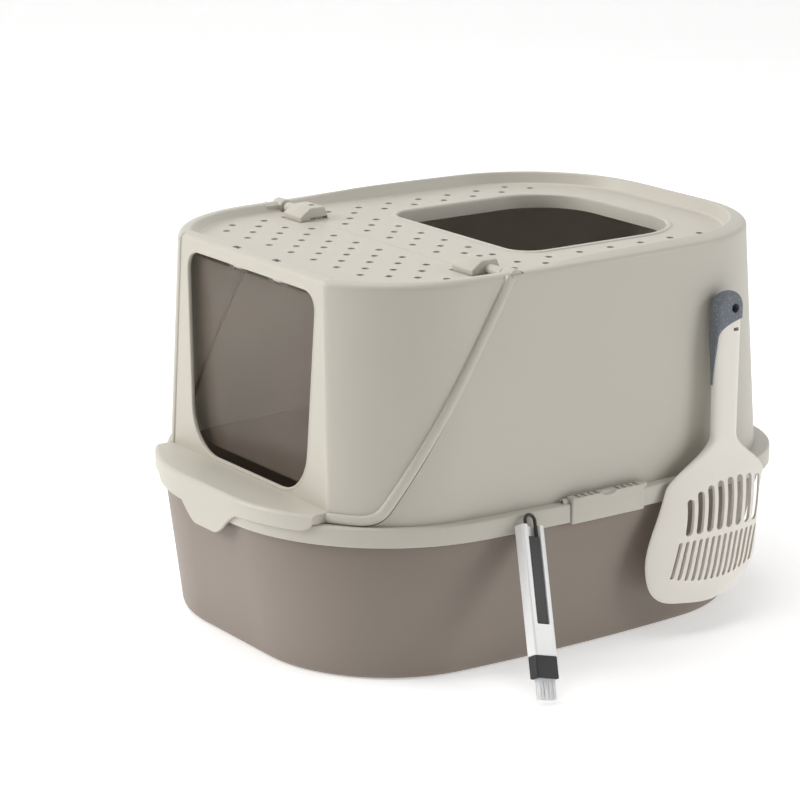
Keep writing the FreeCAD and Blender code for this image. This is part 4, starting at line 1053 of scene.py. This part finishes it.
# How much shorter the outer slots are; for the upper row with the power of the fall towards each end
UPPER_FRONT, UPPER_REAR, LOWER_ENDS = (14.0, 3.2), (4.0, 6), 9.0
SLOT_CUT, SLOT_STEPS = (-40.0, 40.0), 10
HANG_RADIUS, GRIP_HOLE_RADIUS = 5.2, 4.2
SMALL_SLOT = ((-1.5, 12.0), (-1.5, 5.0), (-20.8, -17.8))


def scoop_edge(z):
    """Middle and half width of the scoop at a height."""
    middle = MIDDLE_START + MIDDLE_LEAN * z - MIDDLE_SWING * smooth((SWING_Z - z) / SWING_LONG)
    half = HANDLE_HALF - smooth(-z / HANDLE_LONG) + FLARE * smooth((FLARE_Z - z) / FLARE_LONG)
    half += WIDEN * smooth((WIDEN_Z - z) / WIDEN_LONG)
    drop = min(1.0, max(0.0, (FOOT_Z - z) / FOOT_LONG))
    return middle, half - FOOT_NARROW * (1 - math.sqrt(max(0.0, 1 - drop ** BLADE_CURVE)))


def blade_face(share, z):
    """How far the blade stands out, arched across its width and curled in at its foot."""
    arch = ARCH + ARCH_MORE * smooth((ARCH_Z - z) / ARCH_LONG)
    curl = CURL * smooth((CURL_Z - z) / CURL_LONG)
    return smooth((BLADE_OUT_Z - z) / BLADE_OUT_LONG) * (BLADE_OUT - arch * abs(share) ** BLADE_CURVE) - curl


def scoop_ring(z):
    """Closed section of the scoop at a height, front face first."""
    middle, half = scoop_edge(z)
    dome = math.sqrt(max(0.02, 1 - (max(0.0, z) / HANDLE_TOP) ** 2))
    flat = smooth((FLAT_Z - z) / FLAT_LONG)
    thick = (HANDLE_THICK + (BLADE_THICK - HANDLE_THICK) * flat) * dome
    front, back = [], []
    for i in range(BLADE_ACROSS + 1):
        share = math.sin(math.pi * (i / BLADE_ACROSS - 0.5))
        edge = thick * max(0.0, 1 - abs(share) ** (EDGE_POWER + EDGE_MORE * flat)) ** EDGE_ROOT
        face, y = blade_face(share, z), middle + half * dome * share
        front.append((face + edge, y, z))
        back.append((face - edge, y, z))
    return front + back[::-1][1:-1]


def blade_slot(y, top, low, wide, slant, bow):
    """Cutter for one round-ended slot whose foot leans towards the front of the box, along a bow."""
    half = wide / 2
    ends = turns(math.pi, SLOT_STEPS)
    runs = [(top - low - wide) * k / SLOT_STEPS for k in range(1, SLOT_STEPS)]
    outline = arc(0.0, top - half, half, ends) + [(-half, top - half - run) for run in runs]
    outline += arc(0.0, low + half, -half, ends) + [(half, low + half + run) for run in runs]
    leaning = [(y + across - slant * ((top - z) / (top - low)) ** bow, z) for across, z in outline]
    return prism("slot", leaning, "X", *SLOT_CUT)


def blade_slots():
    """Two rows of slots; the outer ones are shorter where the blade is round."""
    slots = []
    count, first, step, *form = UPPER_SLOTS
    for i in range(count):
        share = i / (count - 1)
        front, rear = UPPER_FRONT[0] * (1 - share) ** UPPER_FRONT[1], UPPER_REAR[0] * share ** UPPER_REAR[1]
        slots.append(blade_slot(first + step * i, UPPER_TOP - front - rear, UPPER_LOW, *form))
    count, first, step, *form = LOWER_SLOTS
    for i in range(count):
        share = i / (count - 1)
        low = LOWER_LOW + LOWER_ENDS * ((1 - share) ** 3 + share ** 3)
        slots.append(blade_slot(first + step * i, LOWER_TOP, low, *form))
    return slots


def move_mesh(thing, matrix):
    """Move a mesh by a matrix in mm."""
    thing.data.transform(Matrix.Scale(MM, 4) @ matrix @ Matrix.Scale(1 / MM, 4))


def place_scoop(thing):
    move_mesh(thing, Matrix.Translation(SCOOP_SPOT) @ Matrix.Rotation(SCOOP_TILT, 4, "Y"))
    shade(thing, SHADE_ROUND)


def build_scoop_body():
    """One skin from the round handle to the arched, slotted blade."""
    whole = Skin().tube([scoop_ring(z) for z in SCOOP_LEVELS]).piece("scoop_shape")
    slots = blade_slots()
    slots.append(prism("hang_hole", circle(0.0, 0.0, HANG_RADIUS), "X", *SLOT_CUT))
    slots.append(block("small_slot", *SMALL_SLOT))
    carve(whole, unite("slots", *slots))
    place_scoop(whole)
    dress(whole, "scoop", "scoop", "scoop_body")


CAP_TOP, CAP_TAIL, CAP_HALF, CAP_THICK, CAP_AROUND = 15.8, -66.0, 15.9, 6.8, 28
# Tail along one edge: least width, growth and its length; thin end and the length of its taper
TAIL_LEAST, TAIL_MORE, TAIL_LONG, TAIL_THIN, TAIL_TAPER = 0.6, 2.4, 40.0, 0.2, 58.0
# Lower edge of the cap: start, height and power of its sweep
SWEEP_Z, SWEEP_HIGH, SWEEP_POWER, CAP_SQUARE = -26.0, 16.0, 2.6, 0.55
# Levels of the cap's sections, closest at its lower edge
CAP_LEVELS = ([CAP_TAIL + 3.0 * i for i in range(17)] + [-16.0 + 0.4 * i for i in range(16)]
              + [-9.0, -6.0, -3.0] + [CAP_TOP * math.sin(turn) for turn in turns(math.pi / 2, 12)[:-1]]
              + [CAP_TOP * 0.998])


def squared(part):
    """Sine or cosine pushed outwards, which squares a round section."""
    return math.copysign(abs(part) ** CAP_SQUARE, part)


def cap_ring(z):
    """Section of the soft cap at a height."""
    up = max(0.0, z) / CAP_TOP
    middle, half = scoop_edge(z)[0], CAP_HALF * math.sqrt(max(0.0, 1 - up ** 2))
    left, right = middle - half, middle + half
    narrow = left + TAIL_LEAST + TAIL_MORE * smooth((z - CAP_TAIL) / TAIL_LONG)
    right = narrow + (right - narrow) * min(1.0, max(0.0, (z - SWEEP_Z) / SWEEP_HIGH)) ** SWEEP_POWER
    taper = TAIL_THIN + (1 - TAIL_THIN) * smooth((z - CAP_TAIL) / TAIL_TAPER)
    thick = CAP_THICK * math.sqrt(1 - up ** 4) * taper
    centre, reach = (left + right) / 2, (right - left) / 2
    return [(thick * squared(math.cos(turn)), centre + reach * squared(math.sin(turn)), z)
            for turn in turns(math.tau, CAP_AROUND)[:-1]]


def build_scoop_grip():
    """Soft domed cap that runs down one edge of the handle in a thin tail."""
    cap = Skin().tube([cap_ring(z) for z in CAP_LEVELS]).piece("scoop_grip_cap")
    carve(cap, prism("grip_hole", circle(0.0, 0.0, GRIP_HOLE_RADIUS), "X", *SLOT_CUT))
    place_scoop(cap)
    dress(cap, "grip", "scoop", "scoop_grip")


# Brush, measured from the tip of its bristles

BRUSH_SPOT, BRUSH_LEAN, BRUSH_TILT = (283.7, -112.5, 4.4), math.radians(-15.6), math.radians(-29.2)
# Bars: width, thickness, lower and upper end, roundness of the long edges and of all edges
GRIP_BAR, COLLAR_BAR = (24.0, 12.0, 37.0, 151.0, 1.8, 0.8), (24.0, 11.0, 18.0, 37.0, 1.6, 0.6)
DUSTPAN_BAR, DUSTPAN_OUT = (13.2, 6.0, 64.8, 140.5, 1.2, 0.6), 2.1
BAR_STEPS, RECESS_STEPS = 6, 5
# Recess at its two ends: half width, height and corner radius
RECESS_FOOT, RECESS_HEAD, RECESS_CUT = (6.9, 64.0, 1.2), (6.9, 170.0, 0.0), (-1.0, 12.0)
HANGER_HALF, HANGER_TOP, HANGER_ENDS, HANGER_STEPS = 5.4, 155.0, (139.0, 147.0), 24
HANGER_OUT, HANGER_RADIUS, HANGER_SIDES = 1.9, 1.5, 14
# One bristle: share of its radius and height; then the tuft's size and the most that a bristle leans
BRISTLE_FORM, BRISTLE_SIDES = ((1.0, 18.6), (1.0, 8.0), (0.8, 1.0), (0.4, 0.2)), 5
TUFT_WIDE, TUFT_THICK, BRISTLE_ROOT, BRISTLE_LEAN = 17.6, 5.2, 18.5, (0.05, 0.03, 3.1)


def bar(name, wide, thick, low, high, long_round, soft):
    """Upright bar with rounded edges on the brush's axis."""
    outline = tapered((thick / 2, -wide / 2, long_round), (thick / 2, wide / 2, long_round), BAR_STEPS)
    return soften(prism(name, outline, "Z", low, high), soft, angle=ENDS_ONLY)


def set_brush(thing, material, body, node_name):
    move_mesh(thing, Matrix.Translation(BRUSH_SPOT) @ Matrix.Rotation(BRUSH_LEAN, 4, "X")
              @ Matrix.Rotation(BRUSH_TILT, 4, "Y"))
    shade(thing, SHADE_ROUND)
    dress(thing, material, body, node_name)


def build_hanger():
    """Round wire bent into the dustpan's hanging loop."""
    line = [(HANGER_HALF, z) for z in HANGER_ENDS]
    line += arc(0.0, HANGER_TOP, HANGER_HALF, turns(math.pi, HANGER_STEPS))
    line += [(-HANGER_HALF, z) for z in reversed(HANGER_ENDS)]
    rings = []
    for i, (y, z) in enumerate(line):
        before, after = line[max(i - 1, 0)], line[min(i + 1, len(line) - 1)]
        along = Vector((0.0, after[0] - before[0], after[1] - before[1])).normalized()
        out = Vector((1.0, 0.0, 0.0)).cross(along)
        section = circle(0.0, HANGER_OUT, HANGER_RADIUS, HANGER_SIDES)
        rings.append([tuple(Vector((x, y, z)) + out * aside) for aside, x in section])
    return Skin().tube(rings).piece("dustpan_loop")


def build_brush():
    grip = bar("brush_grip", *GRIP_BAR)
    carve(grip, prism("recess", tapered(RECESS_FOOT, RECESS_HEAD, RECESS_STEPS), "X", *RECESS_CUT))
    set_brush(grip, "white", "brush", "brush_handle")
    set_brush(bar("brush_collar", *COLLAR_BAR), "ferrule", "brush", "brush_ferrule")
    build_bristles()
    blade = bar("dustpan_blade", *DUSTPAN_BAR)
    blade.data.transform(Matrix.Translation((DUSTPAN_OUT * MM, 0.0, 0.0)))
    dustpan = unite("dustpan_piece", blade, build_hanger())
    set_brush(dustpan, "black", "dustpan", "mini_dustpan")


def build_bristles():
    """Fine bristles set on a grid by a tree, each with its own slight lean."""
    sizes = bpy.context.scene.litterbox_sizes
    radius = sizes.bristle_radius / MM
    rings = []
    for share, z in BRISTLE_FORM:
        rings.append([(x, y, z) for x, y in circle(0.0, 0.0, radius * share, BRISTLE_SIDES)])
    bristle = Skin().tube(rings).piece("brush_tuft")
    kinds = {"Wide": "Float", "Thick": "Float", "Across": "Int", "Deep": "Int", "Seed": "Int"}
    tree, given, end = new_tree("Bristles", kinds)
    grid = node(tree, "GeometryNodeMeshGrid", None,
                {"Size X": given["Thick"], "Size Y": given["Wide"], "Vertices X": given["Deep"],
                 "Vertices Y": given["Across"]})
    lean = node(tree, "FunctionNodeRandomValue", {"data_type": "FLOAT_VECTOR"},
                {0: tuple(-part for part in BRISTLE_LEAN), 1: BRISTLE_LEAN, "Seed": given["Seed"]})
    tufts = node(tree, "GeometryNodeInstanceOnPoints", None, {"Points": grid, "Instance": given["Geometry"]})
    about = node(tree, "ShaderNodeCombineXYZ", None, {"Z": BRISTLE_ROOT * MM})
    turned = node(tree, "GeometryNodeRotateInstances", None,
                  {"Instances": tufts, "Rotation": lean, "Pivot Point": about})
    close_tree(tree, end, turned, "bristle")
    apply_tree(bristle, tree, {"Wide": TUFT_WIDE * MM, "Thick": TUFT_THICK * MM,
                               "Across": sizes.bristles_across, "Deep": sizes.bristle_rows,
                               "Seed": sizes.bristle_seed})
    set_brush(bristle, "bristle", "brush", "brush_bristles")


# Hidden frame parts

PIN_FINISHES = {"flap_pins": "steel", "latch_pin_right": "steel", "latch_pin_left": "steel",
                "hinge_pin_right": "hood", "hinge_pin_left": "hood", "scoop_peg": "hood"}


def dress_frame():
    """Pins and peg keep their CAD shape and take a finish."""
    for name, finish in PIN_FINISHES.items():
        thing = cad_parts[name]
        thing.data.materials.clear()
        thing.data.materials.append(MATERIALS[finish])


# Stage, in metres

CAMERA_SPOT, CAMERA_AIM = Vector((2.0615, -1.5026, 0.8900)), Vector((-0.0303, -0.0434, 0.1827))
SENSOR_MM, LENS_MM, CAMERA_REACH = 36.0, 129.5, 50.0
# Lamps: name, place, size and colour
LAMPS = (("key", (-1.9, -3.0, 1.9), 2.0, (1.0, 0.985, 0.96)), ("top", (-0.2, -0.5, 3.0), 2.4, WHITE),
         ("fill", (2.6, 2.5, 1.5), 1.8, WHITE))
LAMP_AIM = Vector((0.0, 0.0, 0.2))
FLOOR_NEAR, FLOOR_FAR, FLOOR_HALF, FLOOR_Z = -9.0, 3.2, 9.0, -0.0002
WALL_BEND, WALL_BEND_STEPS, WALL_TOP = 1.6, 12, 6.0


def aimed(name, data, spot, aim):
    """A lamp or camera at a place, turned towards another."""
    thing = place_object(name, data)
    thing.location = spot
    thing.rotation_euler = (aim - Vector(spot)).to_track_quat("-Z", "Y").to_euler()
    return thing


def area_light(name, spot, size, tone):
    data = bpy.data.lights.new(name, "AREA")
    data.shape, data.size, data.color = "SQUARE", size, tone
    data.energy = getattr(bpy.context.scene.litterbox_light, name)
    return aimed(name, data, spot, LAMP_AIM)


def build_backdrop():
    """Floor that curves up into a wall behind the object."""
    away = CAMERA_AIM - CAMERA_SPOT
    away.z = 0.0
    away.normalize()
    across = Vector((-away.y, away.x, 0.0))
    bend = [turn - math.pi / 2 for turn in turns(math.pi / 2, WALL_BEND_STEPS)]
    line = [(FLOOR_NEAR, 0.0)] + arc(FLOOR_FAR, WALL_BEND, WALL_BEND, bend)
    line.append((FLOOR_FAR + WALL_BEND, WALL_TOP))
    skin = Skin()
    rows = []
    for aside in (-FLOOR_HALF, FLOOR_HALF):
        points = [away * along + across * aside + Vector((0.0, 0.0, z + FLOOR_Z)) for along, z in line]
        rows.append(skin.add([tuple(point / MM) for point in points]))
    skin.band(rows[1], rows[0], closed=False)
    return skin.piece("studio_floor")


def build_stage():
    scene = bpy.context.scene
    sheet = build_backdrop()
    sheet.data.materials.append(MATERIALS["floor"])
    lamps = [area_light(*lamp) for lamp in LAMPS]
    scene.world = bpy.data.worlds.new("studio")
    scene.world.use_nodes = True
    background = scene.world.node_tree.nodes["Background"]
    background.inputs["Color"].default_value = WHITE + (1.0,)
    background.inputs["Strength"].default_value = scene.litterbox_light.world
    data = bpy.data.cameras.new("camera")
    data.sensor_width, data.lens, data.clip_end = SENSOR_MM, LENS_MM, CAMERA_REACH
    scene.camera = aimed("camera", data, CAMERA_SPOT, CAMERA_AIM)
    scene.view_settings.view_transform = "Standard"


# Operators and panel


class LITTERBOX_OT_pan(bpy.types.Operator):
    """Build the pan"""
    bl_idname = "litterbox.pan"
    bl_label = "Pan"

    def execute(self, context):
        build_pan()
        return {"FINISHED"}


class LITTERBOX_OT_hood(bpy.types.Operator):
    """Build the rear hood with its ring, deck and hinge blocks"""
    bl_idname = "litterbox.hood"
    bl_label = "Rear hood"

    def execute(self, context):
        build_rear_hood()
        build_blocks()
        return {"FINISHED"}


class LITTERBOX_OT_cover(bpy.types.Operator):
    """Build the front cover and its flap"""
    bl_idname = "litterbox.cover"
    bl_label = "Front cover"

    def execute(self, context):
        build_front_cover()
        build_flap()
        return {"FINISHED"}


class LITTERBOX_OT_latches(bpy.types.Operator):
    """Build the side latches"""
    bl_idname = "litterbox.latches"
    bl_label = "Latches"

    def execute(self, context):
        build_latches()
        return {"FINISHED"}


class LITTERBOX_OT_scoop(bpy.types.Operator):
    """Build the scoop and its grip"""
    bl_idname = "litterbox.scoop"
    bl_label = "Scoop"

    def execute(self, context):
        build_scoop_body()
        build_scoop_grip()
        return {"FINISHED"}


class LITTERBOX_OT_brush(bpy.types.Operator):
    """Build the gap brush and its dustpan"""
    bl_idname = "litterbox.brush"
    bl_label = "Brush"

    def execute(self, context):
        build_brush()
        return {"FINISHED"}


class LITTERBOX_OT_stage(bpy.types.Operator):
    """Finish the pins and set up floor, light and camera"""
    bl_idname = "litterbox.stage"
    bl_label = "Stage"

    def execute(self, context):
        dress_frame()
        build_stage()
        return {"FINISHED"}


class LITTERBOX_PT_panel(bpy.types.Panel):
    """Lists the sizes, colours and light, and the building steps"""
    bl_label = "Litter box"
    bl_idname = "LITTERBOX_PT_panel"
    bl_space_type = "VIEW_3D"
    bl_region_type = "UI"
    bl_category = "Litter box"

    def draw(self, context):
        for name, group in GROUPS.items():
            column = self.layout.column(heading=group.__doc__)
            for entry in group.__annotations__:
                column.prop(getattr(context.scene, name), entry)
        for step in STEPS:
            self.layout.operator(step.bl_idname)


STEPS = (LITTERBOX_OT_pan, LITTERBOX_OT_hood, LITTERBOX_OT_cover, LITTERBOX_OT_latches, LITTERBOX_OT_scoop,
         LITTERBOX_OT_brush, LITTERBOX_OT_stage)
GROUPS = {"litterbox_sizes": LITTERBOX_PG_sizes, "litterbox_colours": LITTERBOX_PG_colours,
          "litterbox_light": LITTERBOX_PG_light}
CLASSES = tuple(GROUPS.values()) + STEPS + (LITTERBOX_PT_panel,)


def register():
    for item in CLASSES:
        bpy.utils.register_class(item)
    for name, group in GROUPS.items():
        setattr(bpy.types.Scene, name, bpy.props.PointerProperty(type=group))


def unregister():
    for name in GROUPS:
        delattr(bpy.types.Scene, name)
    for item in reversed(CLASSES):
        bpy.utils.unregister_class(item)


def main():
    register()
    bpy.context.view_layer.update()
    make_materials()
    bpy.ops.litterbox.pan()
    bpy.ops.litterbox.hood()
    bpy.ops.litterbox.cover()
    bpy.ops.litterbox.latches()
    bpy.ops.litterbox.scoop()
    bpy.ops.litterbox.brush()
    bpy.ops.litterbox.stage()


if __name__ == "__main__":
    main()
